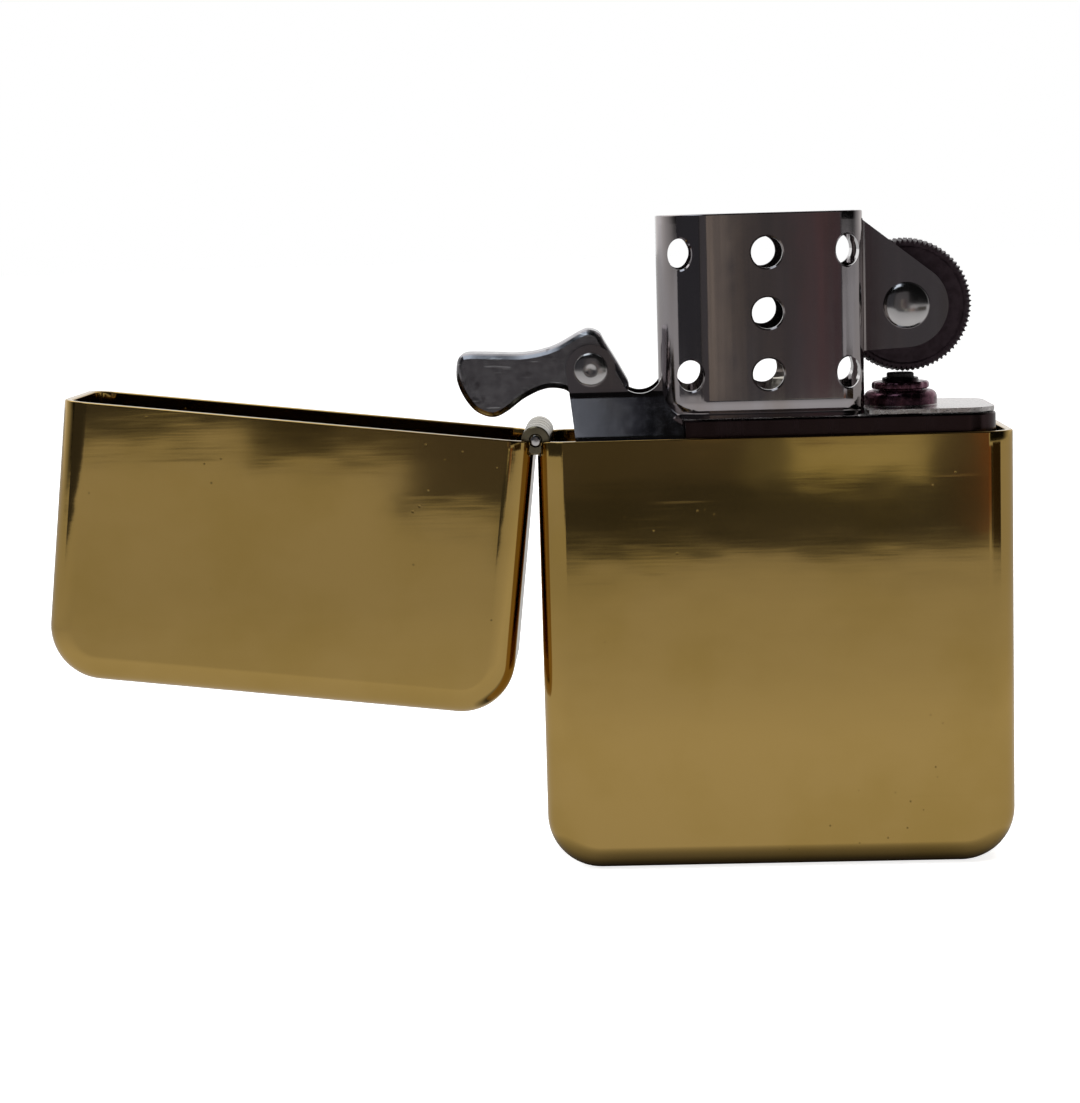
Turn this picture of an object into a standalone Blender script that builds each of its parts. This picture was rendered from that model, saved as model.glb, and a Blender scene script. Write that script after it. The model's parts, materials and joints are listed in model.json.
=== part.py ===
"""Flip-top wick lighter: a drawn case and hinged lid around a lift-out insert.

The insert holds the fuel wadding, the wick, the pierced chimney, the sparking wheel
with its spring-fed flint, and the cam lever that snaps the lid open and shut.

Frame: metres. X runs right, Y away from the front, Z up. The origin is the centre of
the case's flat base. The lid is modelled standing open, hanging to the left.
Heights in the insert's head are measured from the rim of the case.
"""

import math

import bmesh
import bpy
from mathutils import Vector

MM = 0.001

# Case and lid
CASE_WIDTH = 38.0 * MM
CASE_DEPTH = 13.0 * MM
CASE_HEIGHT = 35.1 * MM
LID_HEIGHT = 22.6 * MM
WALL = 0.6 * MM
CORNER_RADIUS = 4.4 * MM  # corners of the front view
EDGE_RADIUS = 2.2 * MM  # edges round the front and back faces
RIM_GAP = 0.16 * MM  # between the rims when the lid is shut
LID_OPEN_ANGLE = math.radians(173.4)

# Hinge
HINGE_OVERHANG = 0.1 * MM  # axis outside the case's side wall
BARREL_RADIUS = 1.15 * MM
PIN_RADIUS = 0.5 * MM
LEAF_THICKNESS = 0.28 * MM
LEAF_LENGTH = 8.5 * MM
LEAF_WIDTH = 8.2 * MM
KNUCKLES = 5
HINGE_END_MARGIN = 1.1 * MM  # from the hinge's end to the case's face
KNUCKLE_GAP = 0.08 * MM

# Clearances
PIN_FIT = 0.05 * MM  # round a pin in its hole
PLATE_GAP = 0.04 * MM  # between faces that bear on each other
SEAT_GAP = 0.1 * MM  # between stacked pieces
NOTCH_CLEARANCE = 0.15 * MM
INSERT_SIDE_GAP = 0.28 * MM  # tank to hinge leaf
INSERT_FACE_GAP = 0.2 * MM  # tank to the case's faces
FLOOR_GAP = 0.3 * MM  # over the case's round bottom corners
SOFT_GAP = 0.3 * MM  # round wadding and felt

# Fuel tank and decks
SHEET = 0.5 * MM
TANK_WALL = 0.4 * MM
TANK_CORNER = 2.5 * MM
TANK_TOP = 1.4 * MM  # above the rim, right of the cam stand
STAND_SEAT = 0.5 * MM  # below the rim, under the cam stand
TANK_LEFT_DROP = 1.6 * MM  # below the rim, beside the hinge
DECK_THICKNESS = 0.4 * MM
DECK_LEVEL = 0.85 * MM  # underside above the rim
FLINT_PLATE_THICKNESS = 0.35 * MM
BOSS_RADIUS = 2.95 * MM
BOSS_HEIGHT = 1.2 * MM
BOSS_CHAMFER = 0.35 * MM
DECK_TONGUE = 1.8 * MM  # how far the narrow part passes the cam's ears

# Chimney
CHIMNEY_TOP = 17.65 * MM
CHIMNEY_INSET = 0.3 * MM  # chimney face behind the tank's face
CHIMNEY_LEFT_RADIUS = 4.0 * MM
CHIMNEY_RIGHT_RADIUS = 1.9 * MM
SKIRT_TOP = 2.9 * MM
HOLE_RADIUS = 1.24 * MM
HOLE_ROWS = (4.9 * MM, 9.75 * MM, 14.55 * MM)
HOLE_LEFT_LOW = 2.5 * MM  # from the chimney's left side
HOLE_LEFT_HIGH = 1.8 * MM
HOLE_MIDDLE_OFFSET = 0.5 * MM  # right of the chimney's middle
HOLE_RIGHT = 1.3 * MM  # from the chimney's right side

# Wheel
WHEEL_RADIUS = 5.4 * MM
WHEEL_WIDTH = 3.8 * MM
WHEEL_TEETH = 68
TOOTH_DEPTH = 0.25 * MM
WHEEL_HEIGHT = 9.95 * MM  # axle above the rim
WHEEL_LID_CLEARANCE = 2.15 * MM
AXLE_TO_CHIMNEY = 3.55 * MM
AXLE_RADIUS = 0.75 * MM
AXLE_HEAD_RADIUS = 1.87 * MM
AXLE_HEAD_HEIGHT = 0.7 * MM
EAR_RADIUS = 3.35 * MM
EAR_CLEARANCE = 0.2 * MM  # wheel to ear
WHEEL_EAR_FOOT = 6.4 * MM  # ear's lower edge above the rim

# Cam lever and its stand
CAM_FROM_HINGE = 4.52 * MM
CAM_HEIGHT = 5.47 * MM
CAM_TO_CHIMNEY = 5.48 * MM
CAM_WIDTH = 4.2 * MM
CAM_SIDE_CLEARANCE = 0.2 * MM
CAM_BEVEL = 0.45 * MM
CAM_PIN_RADIUS = 0.7 * MM
CAM_HEAD_RADIUS = 1.38 * MM
CAM_HEAD_HEIGHT = 0.45 * MM
STAND_EAR_RADIUS = 2.0 * MM
STAND_FLARE_TOP = 3.6 * MM
STAND_FLARE_FOOT = 0.2 * MM
STAND_LEAN = 0.75 * MM  # its left edge leans out by this much
NOTCH_RADIUS = 1.83 * MM
NOTCH_HEIGHT = 5.3 * MM
NOTCH_BITE = 0.3 * MM  # how far the notch runs into the chimney's wall
SPRING_STRIP = 0.3 * MM
SPRING_WIDTH = 2.8 * MM
SPRING_RIVET = 0.6 * MM
SPRING_RIVET_HEAD = 1.1 * MM
RIVET_INSIDE = 3.4 * MM  # from the chimney's left side

# Flint feed
TUBE_OUTER = 1.75 * MM
TUBE_BORE = 1.25 * MM
COLLAR_RADIUS = 2.33 * MM
COLLAR_HEIGHT = 0.9 * MM
COLLAR_CHAMFER = 0.15 * MM
FLINT_OFFSET = 0.3 * MM  # left of the wheel's axle
FLINT_RADIUS = 1.1 * MM
FLINT_LENGTH = 4.85 * MM
FEED_GAP = 0.1 * MM  # flint to wheel
TIP_HEIGHT = 1.4 * MM
TIP_STEM = 2.0 * MM
SPRING_WIRE = 0.2 * MM
SPRING_TURNS = 20
SCREW_HEAD_RADIUS = 2.2 * MM
SCREW_HEAD_HEIGHT = 1.1 * MM
SCREW_SHANK = 3.9 * MM
SCREW_CHAMFER = 0.25 * MM
SCREW_SLOT_WIDTH = 0.7 * MM
SCREW_SLOT_DEPTH = 0.55 * MM

# Soft filling
WICK_RADIUS = 1.55 * MM
WICK_BEND = 2.6 * MM
WICK_TOP = 4.25 * MM
WICK_FROM_CHIMNEY = 10.7 * MM  # from the chimney's left side
FELT_THICKNESS = 2.7 * MM
WADS = 4

# Places worked out from the sizes above
RIM = CASE_HEIGHT
HALF_WIDTH = CASE_WIDTH / 2
HALF_DEPTH = CASE_DEPTH / 2
HINGE_X = -HALF_WIDTH - HINGE_OVERHANG
HINGE_Z = RIM + RIM_GAP / 2
HINGE_HALF = HALF_DEPTH - HINGE_END_MARGIN
LEAF_X = -HALF_WIDTH + WALL + PLATE_GAP
NOTCH_REACH = BARREL_RADIUS + NOTCH_CLEARANCE
TANK_HALF_WIDTH = HALF_WIDTH - WALL - PLATE_GAP - LEAF_THICKNESS - INSERT_SIDE_GAP
TANK_HALF_DEPTH = HALF_DEPTH - WALL - INSERT_FACE_GAP
CORNER_REACH = TANK_HALF_WIDTH - (HALF_WIDTH - CORNER_RADIUS)
CORNER_DROP = math.sqrt((CORNER_RADIUS - WALL) ** 2 - CORNER_REACH**2)
TANK_BOTTOM = CORNER_RADIUS - CORNER_DROP + FLOOR_GAP
INNER_HALF_WIDTH = TANK_HALF_WIDTH - TANK_WALL
INNER_HALF_DEPTH = TANK_HALF_DEPTH - TANK_WALL
CAM_X = HINGE_X + CAM_FROM_HINGE
CAM_Z = RIM + CAM_HEIGHT
CHIMNEY_LEFT = CAM_X + CAM_TO_CHIMNEY
WHEEL_X = HALF_WIDTH - WALL - WHEEL_LID_CLEARANCE - WHEEL_RADIUS
WHEEL_Z = RIM + WHEEL_HEIGHT
CHIMNEY_RIGHT = WHEEL_X - AXLE_TO_CHIMNEY
CHIMNEY_HALF_DEPTH = TANK_HALF_DEPTH - CHIMNEY_INSET
CHIMNEY_FOOT = RIM + TANK_TOP + SEAT_GAP
WHEEL_EAR_INNER = WHEEL_WIDTH / 2 + EAR_CLEARANCE
CAM_EAR_INNER = CAM_WIDTH / 2 + CAM_SIDE_CLEARANCE
STAND_RIGHT = CHIMNEY_LEFT + CHIMNEY_LEFT_RADIUS / 2
RIVET_X = CHIMNEY_LEFT + RIVET_INSIDE
DECK_BOTTOM = RIM + DECK_LEVEL
DECK_TOP = DECK_BOTTOM + DECK_THICKNESS
FLINT_PLATE_BOTTOM = RIM + TANK_TOP + SEAT_GAP
FLINT_TOP = WHEEL_Z - WHEEL_RADIUS - FEED_GAP
FLINT_BOTTOM = FLINT_TOP - FLINT_LENGTH
COLLAR_BOTTOM = FLINT_PLATE_BOTTOM + FLINT_PLATE_THICKNESS + BOSS_HEIGHT + SEAT_GAP
SCREW_BOTTOM = TANK_BOTTOM + SEAT_GAP
TUBE_BOTTOM = SCREW_BOTTOM + SCREW_HEAD_HEIGHT + SEAT_GAP
SCREW_TOP = TUBE_BOTTOM + SCREW_SHANK
TIP_TOP = FLINT_BOTTOM - SEAT_GAP
TIP_BOTTOM = TIP_TOP - TIP_HEIGHT
FLINT_X = WHEEL_X - FLINT_OFFSET
WICK_X = CHIMNEY_LEFT + WICK_FROM_CHIMNEY


# ---------------------------------------------------------------- drawing helpers


def arc(cx, cy, radius, start, end, steps):
    """Points on an arc, both ends included, angles in degrees."""
    points = []
    for i in range(steps + 1):
        angle = math.radians(start + (end - start) * i / steps)
        points.append((cx + radius * math.cos(angle), cy + radius * math.sin(angle)))
    return points


def rounded_box(left, right, half, left_radius, right_radius, steps=6):
    """Anticlockwise outline of a box, symmetric about its long axis, with round corners."""
    outline = arc(right - right_radius, right_radius - half, right_radius, -90, 0, steps)
    outline += arc(right - right_radius, half - right_radius, right_radius, 0, 90, steps)
    outline += arc(left + left_radius, half - left_radius, left_radius, 90, 180, steps)
    outline += arc(left + left_radius, left_radius - half, left_radius, 180, 270, steps)
    return outline


def smooth_loop(points, steps):
    """A closed Catmull-Rom curve through the points."""
    loop = []
    count = len(points)
    for i in range(count):
        a, b, c, d = (Vector(points[(i + k) % count]) for k in (-1, 0, 1, 2))
        for j in range(steps):
            t = j / steps
            pull = (c - a) * t + (2 * a - 5 * b + 4 * c - d) * t**2
            point = b + (pull + (3 * b - a - 3 * c + d) * t**3) / 2
            loop.append((point.x, point.y))
    return loop


def rounded_path(points, radius, steps=5):
    """The path through the points with each inner corner rounded off."""
    path = [Vector(points[0])]
    for before, corner, after in zip(points, points[1:], points[2:]):
        corner = Vector(corner)
        enter = corner + (Vector(before) - corner).normalized() * radius
        leave = corner + (Vector(after) - corner).normalized() * radius
        for i in range(steps + 1):
            t = i / steps
            path.append(enter * (1 - t) ** 2 + corner * 2 * t * (1 - t) + leave * t**2)
    path.append(Vector(points[-1]))
    return path


def to_space(point, level, axis):
    if axis == "X":
        return (level, point[0], point[1])
    if axis == "Y":
        return (point[0], level, point[1])
    return (point[0], point[1], level)


def prism(outline, low, high, axis="Z"):
    """A solid of the outline between two levels along an axis."""
    mesh = bmesh.new()
    ends = []
    for level in (low, high):
        ends.append([mesh.verts.new(to_space(point, level, axis)) for point in outline])
    mesh.faces.new(ends[0])
    mesh.faces.new(ends[1])
    for i in range(len(outline)):
        j = (i + 1) % len(outline)
        mesh.faces.new((ends[0][i], ends[0][j], ends[1][j], ends[1][i]))
    return mesh


def box(x, y, z):
    """A box from three (low, high) pairs."""
    return prism([(x[0], y[0]), (x[1], y[0]), (x[1], y[1]), (x[0], y[1])], z[0], z[1])


def loft(rings, closed=False):
    """A solid skinned over rings of equal length, capped unless it closes on itself."""
    mesh = bmesh.new()
    rows = [[mesh.verts.new(point) for point in ring] for ring in rings]
    pairs = list(zip(rows, rows[1:]))
    if closed:
        pairs.append((rows[-1], rows[0]))
    else:
        mesh.faces.new(rows[0])
        mesh.faces.new(rows[-1])
    for one, two in pairs:
        for i in range(len(one)):
            j = (i + 1) % len(one)
            mesh.faces.new((one[i], one[j], two[j], two[i]))
    return mesh


def turned(profile, segments, axis="Z", centre=(0, 0), closed=False):
    """A turned solid: (radius, level) points spun round an axis through centre."""
    rings = []
    for radius, level in profile:
        ring = []
        for i in range(segments):
            angle = 2 * math.pi * i / segments
            point = (
                centre[0] + radius * math.cos(angle),
                centre[1] + radius * math.sin(angle),
            )
            ring.append(to_space(point, level, axis))
        rings.append(ring)
    return loft(rings, closed)


def cup(half_width, half_depth, height, corner, edge, wall):
    """An open-topped drawn shell standing on z = 0."""
    corner_steps, edge_steps = 16, 6
    mesh = bmesh.new()
    grids = []
    for inset in (0, wall):
        grid = []
        for side in (-1, 1):
            for step in range(edge_steps + 1):
                turn = step if side < 0 else edge_steps - step
                angle = math.pi / 2 * turn / edge_steps
                shrink = inset + (edge - inset) * (1 - math.sin(angle))
                y = side * (half_depth - edge + (edge - inset) * math.cos(angle))
                chain = [(shrink - half_width, height)]
                middle = half_width - corner
                chain += arc(-middle, corner, corner - shrink, 180, 270, corner_steps)
                chain += arc(middle, corner, corner - shrink, 270, 360, corner_steps)
                chain.append((half_width - shrink, height))
                grid.append([mesh.verts.new((x, y, z)) for x, z in chain])
        grids.append(grid)
    for grid in grids:
        mesh.faces.new(grid[0])
        mesh.faces.new(grid[-1])
        for one, two in zip(grid, grid[1:]):
            for i in range(len(one) - 1):
                mesh.faces.new((one[i], one[i + 1], two[i + 1], two[i]))
    rims = []
    for grid in grids:
        left = [chain[0] for chain in grid]
        right = [chain[-1] for chain in reversed(grid)]
        rims.append(left + right)
    outer, inner = rims
    for i in range(len(outer)):
        j = (i + 1) % len(outer)
        mesh.faces.new((outer[i], outer[j], inner[j], inner[i]))
    return mesh


# ---------------------------------------------------------------- objects and booleans


def material(name, colour, roughness, metallic):
    made = bpy.data.materials.new(name)
    made.use_nodes = True
    shader = made.node_tree.nodes["Principled BSDF"]
    shader.inputs["Base Color"].default_value = (*colour, 1)
    shader.inputs["Roughness"].default_value = roughness
    shader.inputs["Metallic"].default_value = metallic
    return made


def add(name, mesh, finish, origin=(0, 0, 0), parent=None):
    """An object of the mesh, its origin moved to a point without moving the shape."""
    bmesh.ops.recalc_face_normals(mesh, faces=mesh.faces)
    bmesh.ops.translate(mesh, verts=mesh.verts, vec=-Vector(origin))
    data = bpy.data.meshes.new(name)
    mesh.to_mesh(data)
    mesh.free()
    data.shade_smooth()
    data.set_sharp_from_angle(angle=math.radians(32))
    data.materials.append(finish)
    made = bpy.data.objects.new(name, data)
    made.location = origin
    bpy.context.scene.collection.objects.link(made)
    if parent:
        made.parent = parent
    return made


def helper(name, mesh, parent=None):
    """A cutter or a shape that is fused into another: never rendered."""
    made = add(name, mesh, HELPER, parent=parent)
    made.hide_render = True
    made.display_type = "WIRE"
    return made


def combine(target, operation, *others):
    for other in others:
        modifier = target.modifiers.new(other.name, "BOOLEAN")
        modifier.operation = operation
        modifier.object = other


# ---------------------------------------------------------------- case, lid and hinge


def hinge_notch(name, centre_x, low, high, parent=None):
    """A cutter that clears the knuckles from one wall."""
    half = HINGE_HALF + SEAT_GAP
    x = (centre_x - 2 * NOTCH_REACH, centre_x + NOTCH_REACH)
    return helper(name, box(x, (-half, half), (low, high)), parent)


def make_case():
    mesh = cup(HALF_WIDTH, HALF_DEPTH, CASE_HEIGHT, CORNER_RADIUS, EDGE_RADIUS, WALL)
    case = add("case_shell", mesh, BRASS)
    notch = hinge_notch("case_notch", HINGE_X, HINGE_Z - NOTCH_REACH, RIM + NOTCH_REACH)
    combine(case, "DIFFERENCE", notch)


def make_lid(pivot):
    """The lid is drawn shut, about the hinge axis, and hangs from the turned pivot."""
    mesh = cup(HALF_WIDTH, HALF_DEPTH, LID_HEIGHT, CORNER_RADIUS, EDGE_RADIUS, WALL)
    for vert in mesh.verts:
        vert.co.x -= HINGE_X
        vert.co.z = RIM_GAP / 2 + LID_HEIGHT - vert.co.z
    lid = add("lid_shell", mesh, BRASS, parent=pivot)
    combine(lid, "DIFFERENCE", hinge_notch("lid_notch", 0, -NOTCH_REACH, NOTCH_REACH, pivot))


def knuckle_span(index):
    pitch = 2 * HINGE_HALF / KNUCKLES
    low = -HINGE_HALF + pitch * index
    return low + KNUCKLE_GAP / 2, low + pitch - KNUCKLE_GAP / 2


def make_leaf(name, indices, axis_x, axis_z, side, parent=None):
    """A hinge leaf with its knuckles; side is 1 for a leaf that points up, -1 down."""
    spans = sorted((knuckle_span(i) for i in indices), reverse=True)
    shoulder = axis_z + side * (BARREL_RADIUS + SEAT_GAP)
    far = axis_z + side * LEAF_LENGTH
    half = LEAF_WIDTH / 2
    outline = [(-half, far), (half, far), (half, shoulder)]
    for low, high in spans:
        low, high = low + PLATE_GAP, high - PLATE_GAP
        outline += [(high, shoulder), (high, axis_z), (low, axis_z), (low, shoulder)]
    outline.append((-half, shoulder))
    inner = axis_x + LEAF_X - HINGE_X
    leaf = add(name, prism(outline, inner, inner + LEAF_THICKNESS, "X"), STEEL, parent=parent)
    for number, (low, high) in enumerate(spans):
        barrel = turned([(BARREL_RADIUS, low), (BARREL_RADIUS, high)], 32, "Y", (axis_x, axis_z))
        combine(leaf, "UNION", helper(f"{name}_knuckle_{number}", barrel, parent))
    bore = PIN_RADIUS + PIN_FIT
    hole = turned([(bore, -HALF_DEPTH), (bore, HALF_DEPTH)], 24, "Y", (axis_x, axis_z))
    combine(leaf, "DIFFERENCE", helper(f"{name}_bore", hole, parent))


def make_hinge(pivot):
    make_leaf("hinge_leaf_case", range(0, KNUCKLES, 2), HINGE_X, HINGE_Z, -1)
    make_leaf("hinge_leaf_lid", range(1, KNUCKLES, 2), 0, 0, 1, pivot)
    chamfer = PIN_RADIUS / 4
    ends = [(PIN_RADIUS - chamfer, HINGE_HALF), (PIN_RADIUS, HINGE_HALF - chamfer)]
    profile = [(radius, -y) for radius, y in ends] + ends[::-1]
    add("hinge_pin", turned(profile, 24, "Y", (HINGE_X, HINGE_Z)), STEEL)


# ---------------------------------------------------------------- tank and decks


def make_tank():
    """The open-ended can, lower under the cam stand and lower still beside the hinge."""
    rings = []
    for inset in (0, TANK_WALL):
        radius = TANK_CORNER - inset
        outline = rounded_box(
            inset - TANK_HALF_WIDTH,
            TANK_HALF_WIDTH - inset,
            TANK_HALF_DEPTH - inset,
            radius,
            radius,
        )
        levels = (TANK_BOTTOM, RIM + TANK_TOP)
        if inset:
            levels = levels[::-1]
        rings += [[(x, y, z) for x, y in outline] for z in levels]
    tank = add("fuel_tank", loft(rings, closed=True), STEEL)
    top = RIM + TANK_TOP + SHEET
    side = (-HALF_DEPTH, HALF_DEPTH)
    seat = box((-HALF_WIDTH, STAND_RIGHT), side, (RIM - STAND_SEAT, top))
    drop = box((-HALF_WIDTH, stand_left(0)), side, (RIM - TANK_LEFT_DROP, top))
    combine(tank, "DIFFERENCE", helper("stand_seat", seat), helper("hinge_relief", drop))


def make_deck():
    """The plate that shuts the top of the tank, stepped down beside the hinge."""
    half = INNER_HALF_DEPTH - SEAT_GAP
    right = INNER_HALF_WIDTH - SEAT_GAP
    radius = TANK_CORNER - TANK_WALL - SEAT_GAP
    narrow = CAM_EAR_INNER + DECK_TONGUE
    left = stand_left(0) + SHEET
    shoulder = STAND_RIGHT + SEAT_GAP
    outline = [(left, -narrow), (shoulder, -narrow), (shoulder, -half)]
    outline += arc(right - radius, radius - half, radius, -90, 0, 6)
    outline += arc(right - radius, half - radius, radius, 0, 90, 6)
    outline += [(shoulder, half), (shoulder, narrow), (left, narrow)]
    deck = add("top_deck", prism(outline, DECK_BOTTOM, DECK_TOP), STEEL)
    shelf_bottom = RIM - TANK_LEFT_DROP - DECK_THICKNESS - SEAT_GAP
    middle = DECK_BOTTOM + DECK_THICKNESS / 2
    side = (-narrow, narrow)
    riser = box((left, left + DECK_THICKNESS), side, (shelf_bottom + DECK_THICKNESS / 2, middle))
    shelf = arc(radius - right, radius - half, radius, 270, 180, 6)
    shelf += arc(radius - right, half - radius, radius, 180, 90, 6)
    shelf += [(left + DECK_THICKNESS, half), (left + DECK_THICKNESS, -half)]
    shelf = prism(shelf, shelf_bottom, shelf_bottom + DECK_THICKNESS)
    combine(deck, "UNION", helper("deck_riser", riser), helper("deck_shelf", shelf))
    holes = ((WICK_X, WICK_RADIUS), (FLINT_X, TUBE_OUTER), (RIVET_X, SPRING_RIVET))
    for number, (x, radius) in enumerate(holes):
        fit = radius + PIN_FIT
        hole = turned([(fit, RIM - SHEET), (fit, DECK_TOP + SHEET)], 24, "Z", (x, 0))
        combine(deck, "DIFFERENCE", helper(f"deck_hole_{number}", hole))


def make_flint_plate():
    """The flange beside the chimney, with the boss that holds the flint tube."""
    half = TANK_HALF_DEPTH - SEAT_GAP
    right = TANK_HALF_WIDTH - SEAT_GAP
    left = CHIMNEY_RIGHT + SEAT_GAP
    outline = rounded_box(left, right, half, CHIMNEY_INSET, TANK_CORNER - SEAT_GAP)
    top = FLINT_PLATE_BOTTOM + FLINT_PLATE_THICKNESS
    plate = add("flint_plate", prism(outline, FLINT_PLATE_BOTTOM, top), STEEL)
    profile = [
        (BOSS_RADIUS, top - FLINT_PLATE_THICKNESS / 2),
        (BOSS_RADIUS, top + BOSS_HEIGHT - BOSS_CHAMFER),
        (BOSS_RADIUS - BOSS_CHAMFER, top + BOSS_HEIGHT),
    ]
    boss = turned(profile, 32, "Z", (FLINT_X, 0))
    bore = TUBE_OUTER + PIN_FIT
    hole = [(bore, RIM), (bore, top + 2 * BOSS_HEIGHT)]
    combine(plate, "UNION", helper("boss", boss))
    combine(plate, "DIFFERENCE", helper("boss_bore", turned(hole, 28, "Z", (FLINT_X, 0))))


# ---------------------------------------------------------------- chimney and stand


def chimney_outline(inset, widen=0.0):
    return rounded_box(
        CHIMNEY_LEFT + inset,
        CHIMNEY_RIGHT - inset,
        CHIMNEY_HALF_DEPTH + widen - inset,
        min(CHIMNEY_LEFT_RADIUS, CHIMNEY_HALF_DEPTH - CAM_WIDTH / 4) - inset,
        CHIMNEY_RIGHT_RADIUS - inset,
        8,
    )


def chimney_wall():
    """The pierced wall, with a skirt that spreads to the tank's faces."""
    skirt_steps = 4
    levels = []
    for step in range(skirt_steps + 1):
        t = step / skirt_steps
        level = CHIMNEY_FOOT + (RIM + SKIRT_TOP - CHIMNEY_FOOT) * t
        levels.append((level, CHIMNEY_INSET * (0.5 + 0.5 * math.cos(math.pi * t))))
    levels.append((RIM + CHIMNEY_TOP, 0.0))
    rings = []
    for inset, order in ((0, levels), (SHEET, levels[::-1])):
        for level, widen in order:
            rings.append([(x, y, level) for x, y in chimney_outline(inset, widen)])
    return loft(rings, closed=True)


def stand_left(height):
    """The leaning left edge of the cam stand at a height above the rim."""
    ear = CAM_X - STAND_EAR_RADIUS
    return ear + STAND_LEAN * (1 - height / CAM_HEIGHT)


def stand_outline():
    """Front view of one side of the stand: the ear, the notch and the root."""
    notch_x = CHIMNEY_LEFT - NOTCH_RADIUS + NOTCH_BITE
    notch_z = RIM + NOTCH_HEIGHT
    outline = arc(CAM_X, CAM_Z, STAND_EAR_RADIUS, 190, -12, 14)
    outline += arc(notch_x, notch_z, NOTCH_RADIUS, 205, 352, 9)
    outline.append((CHIMNEY_LEFT + SHEET, notch_z + NOTCH_RADIUS))
    outline.append((STAND_RIGHT - SEAT_GAP, notch_z + NOTCH_RADIUS))
    foot = RIM - STAND_SEAT + SEAT_GAP
    outline.append((STAND_RIGHT - SEAT_GAP, foot))
    outline.append((stand_left(0), foot))
    return outline


def stand_sheet(side):
    """One side of the stand in section: an ear that spreads to the tank's face."""
    steps = 8
    ear = CAM_EAR_INNER + SHEET / 2
    face = TANK_HALF_DEPTH - SHEET / 2
    line = [(ear, CAM_Z + 2 * STAND_EAR_RADIUS)]
    for step in range(steps + 1):
        t = step / steps
        smooth = t * t * (3 - 2 * t)
        height = STAND_FLARE_TOP + (STAND_FLARE_FOOT - STAND_FLARE_TOP) * t
        line.append((ear + (face - ear) * smooth, RIM + height))
    line.append((face, RIM - 2 * STAND_SEAT))
    outer, inner = [], []
    for i, point in enumerate(line):
        before = Vector(line[max(i - 1, 0)])
        after = Vector(line[min(i + 1, len(line) - 1)])
        along = (after - before).normalized()
        across = Vector((-along.y, along.x)) * SHEET / 2
        outer.append(Vector(point) + across)
        inner.append(Vector(point) - across)
    outline = [(side * p.x, p.y) for p in outer + inner[::-1]]
    left = CAM_X - 2 * STAND_EAR_RADIUS
    return prism(outline, left, STAND_RIGHT, "X")


def wheel_ear(side):
    """One flat ear that carries the axle: an arc round it, and a slope from the chimney's top."""
    top = (CHIMNEY_RIGHT, RIM + CHIMNEY_TOP)
    root = CHIMNEY_RIGHT - SHEET / 2
    foot = RIM + WHEEL_EAR_FOOT
    reach = Vector((WHEEL_X - top[0], WHEEL_Z - top[1]))
    slope = math.degrees(math.atan2(reach.y, reach.x))
    touch = slope + 180 - math.degrees(math.acos(EAR_RADIUS / reach.length))
    outline = arc(WHEEL_X, WHEEL_Z, EAR_RADIUS, touch, -90, 16)
    outline += [(root, foot), (root, top[1] - SHEET)]
    low, high = sorted((side * WHEEL_EAR_INNER, side * (WHEEL_EAR_INNER + SHEET)))
    return prism(outline, low, high, "Y")


def chimney_holes():
    """Seven holes in each face, one cutter for each pair."""
    low, middle, high = HOLE_ROWS
    centre = (CHIMNEY_LEFT + CHIMNEY_RIGHT) / 2 + HOLE_MIDDLE_OFFSET
    places = [(centre, low), (centre, middle), (centre, high)]
    places += [(CHIMNEY_LEFT + HOLE_LEFT_LOW, low), (CHIMNEY_LEFT + HOLE_LEFT_HIGH, high)]
    places += [(CHIMNEY_RIGHT - HOLE_RIGHT, low), (CHIMNEY_RIGHT - HOLE_RIGHT, high)]
    profile = [(HOLE_RADIUS, -CASE_DEPTH), (HOLE_RADIUS, CASE_DEPTH)]
    for number, (x, height) in enumerate(places):
        cutter = turned(profile, 20, "Y", (x, RIM + height))
        yield helper(f"draught_hole_{number}", cutter)


def make_chimney():
    chimney = add("chimney", chimney_wall(), CHROME)
    core = helper("chimney_core", prism(chimney_outline(SHEET / 2), RIM - WALL, RIM + CHIMNEY_TOP))
    front_view = helper("stand_front_view", prism(stand_outline(), -CASE_DEPTH, CASE_DEPTH, "Y"))
    for side, label in ((-1, "front"), (1, "back")):
        sheet = helper(f"stand_{label}", stand_sheet(side))
        combine(sheet, "INTERSECT", front_view)
        combine(sheet, "DIFFERENCE", core)
        combine(chimney, "UNION", sheet)
        combine(chimney, "UNION", helper(f"wheel_ear_{label}", wheel_ear(side)))
    slot_half = WHEEL_EAR_INNER
    x = (CHIMNEY_RIGHT - 2 * SHEET, CHIMNEY_RIGHT + SHEET)
    mouth = box(x, (-slot_half, slot_half), (RIM, RIM + 2 * CHIMNEY_TOP))
    combine(chimney, "DIFFERENCE", helper("wheel_mouth", mouth))
    half = SPRING_WIDTH / 2 + NOTCH_CLEARANCE
    x = (CHIMNEY_LEFT - SHEET, CHIMNEY_LEFT + 2 * SHEET)
    slot = box(x, (-half, half), (RIM, DECK_TOP + 3 * SPRING_STRIP))
    combine(chimney, "DIFFERENCE", helper("spring_slot", slot))
    for cutter in chimney_holes():
        combine(chimney, "DIFFERENCE", cutter)
    for name, x, z, radius in (
        ("wheel_axle_hole", WHEEL_X, WHEEL_Z, AXLE_RADIUS),
        ("cam_pin_hole", CAM_X, CAM_Z, CAM_PIN_RADIUS),
    ):
        profile = [(radius + PIN_FIT, -CASE_DEPTH), (radius + PIN_FIT, CASE_DEPTH)]
        combine(chimney, "DIFFERENCE", helper(name, turned(profile, 24, "Y", (x, z))))


# ---------------------------------------------------------------- wheel and cam


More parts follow.
